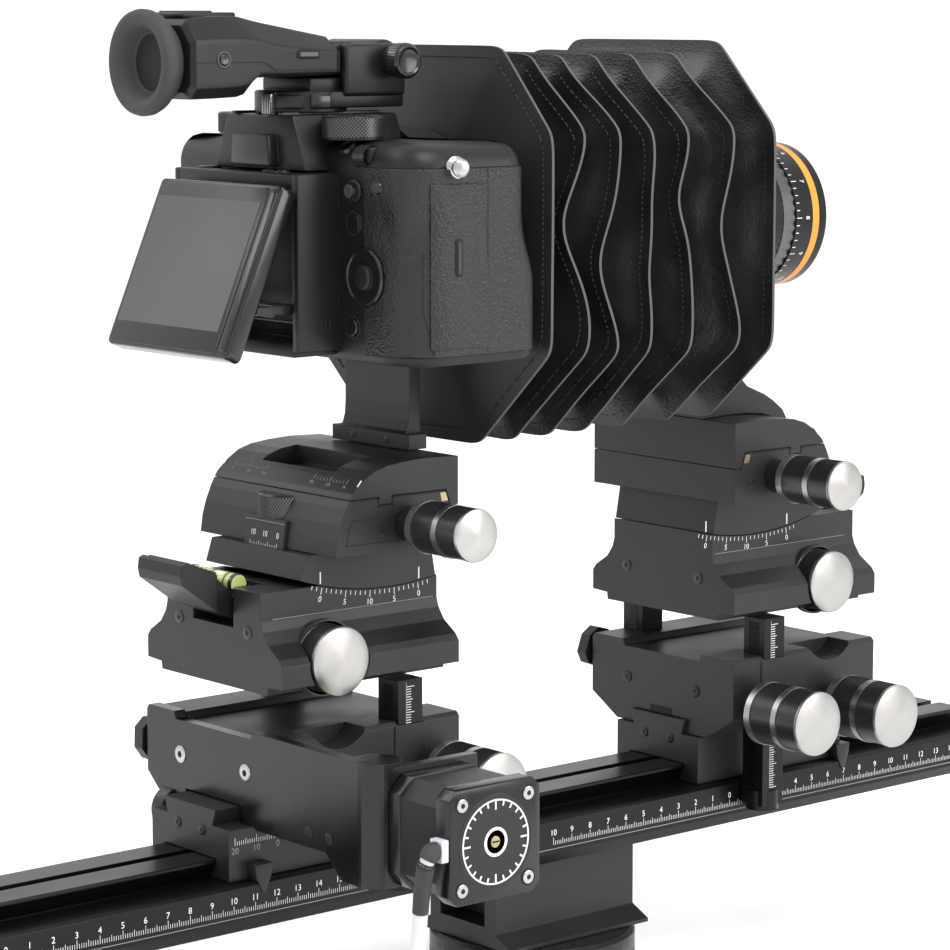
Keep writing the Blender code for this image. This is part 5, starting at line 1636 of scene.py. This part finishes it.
def make_focus_details(side):
    """Screws of the focus block and of its carriage, and the cover plates over the posts."""
    block = Shape(f"{side.name}_focus_screws")
    block.screw_pair(0.0210, side.y(-0.0243), 0.1170, side.inward, 0.0026, "knurl")
    place = facing((0, side.y(-0.0242), 0), (side.outward, 0, 0), UP)
    block.mark((-0.0065, 0.1042), (0.0065, 0.1072), place, "socket", 0.0002)
    if side.name == "front":  # the motor's bracket covers the rear block's end
        block.screw_pair(0.0210, side.y(0.0611), 0.1170, side.out, 0.0026, "knurl")
    for x_span in ((-0.04400, -0.04355), (0.04355, 0.04400)):
        side.slab(block, x_span, (-0.0080, 0.0080), (0.1078, 0.1316), "anodised", 0.0002)
    settle(block, f"{side.name}_focus")
    carriage = Shape(f"{side.name}_carriage_screws")
    low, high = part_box(f"{side.name}_rail_carriage")
    carriage.screw_pair(0.0079, low.y - 0.0001, 0.0950, FRONT, 0.0022, "knurl")
    carriage.screw_pair(0.0079, high.y + 0.0001, 0.0950, REAR, 0.0022, "knurl")
    settle(carriage, f"{side.name}_carriage")


def make_bracket_details():
    """Screws of the motor's bracket and of the camera's, and the carriage's lock knob and stop."""
    plate = Shape("bracket_screws")
    plate.screw_pair(0.0210, 0.1626, 0.1175, REAR, 0.0034)
    for x in (-0.0600, -0.0720):
        plate.screw((x, 0.1626, 0.1020), REAR, 0.0022, "knurl")
    settle(plate, "rear_focus")
    sole = Shape("sole_screws")
    sole.screw_pair(0.0105, 0.0851, 0.2366, REAR, 0.0014, "rim")
    settle(sole, "rear_shift")
    lock = Shape("rail_lock_knob")
    place = along((0, 0.1590, 0.0940), FAR)
    lock.lathe([(0.0040, 0.0240), (0.0040, 0.0262), (0.0092, 0.0262), (0.0095, 0.0266)], place, "knurl", 40)
    lock.knurled(0.0095, KNURL_DEPTH, 0.0266, 0.0330, place, "knurl", 44, 9)
    lock.lathe([(0.0092, 0.0330), (0.0088, 0.0338), (TINY, 0.0340)], place, "silver", 40)
    settle(lock, "rear_carriage")
    stop = Shape("carriage_stop")
    stop.block((-0.0165, 0.0738, 0.1036), (0.0165, 0.0860, 0.1058), "anodised", 0.0003, 1)
    settle(stop, "rear_carriage")


def make_vial():
    """Spirit level: tinted tube with its bubble, rings and seat."""
    vial = Shape("level_tube")
    y, z = 0.1565, 0.1875
    place = along((0, y, z), FAR)
    vial.lathe([(TINY, -0.0100), (0.0034, -0.0100), (0.0038, -0.0094), (0.0038, 0.0194),
                (0.0034, 0.0200), (TINY, 0.0200)], place, "vial", 40)
    vial.lathe([(TINY, -0.0034), (0.0016, -0.0030), (0.0020, -0.0018), (0.0020, 0.0018),
                (0.0016, 0.0030), (TINY, 0.0034)], along((0, y + 0.0008, z + 0.0019), FAR),
               "bubble", 24)
    for x in (-0.0046, 0.0046):
        vial.ring(0.00375, 0.00392, x - 0.0003, x + 0.0003, place, "socket", 40)
    vial.block((-0.0204, 0.1522, 0.1836), (-0.0106, 0.1608, 0.1869), "anodised", 0.0003, 1)
    for x in (-0.0098, 0.0180):
        vial.ring(0.0030, 0.0040, x, x + 0.0018, place, "gloss", 40)
    settle(vial, "rear_rise", ["bubble_level"])


def make_standard_details():
    """Everything on the two standards that the CAD nodes leave plain."""
    for side in (Side("rear", REAR_PLANE, 1), Side("front", FRONT_PLANE, -1)):
        make_shift_details(side)
        make_swing_wheel(side)
        make_swing_details(side)
        make_tilt_details(side)
        make_focus_details(side)
    make_bracket_details()
    make_vial()


def main():
    make_camera()
    make_cord()
    make_stage()
    dress_frame()
    make_knobs()
    make_bellows()
    make_motor()
    make_rail_scale()
    make_carriage_scales()
    make_tilt_scale("rear", REAR_PLANE, 1, 0.0088)
    make_tilt_scale("front", FRONT_PLANE, -1, -0.0039)
    make_post_details()
    make_turntable_details()
    make_camera_body()
    make_screen()
    make_controls()
    make_viewfinder()
    make_lens()
    make_standard_details()


main()
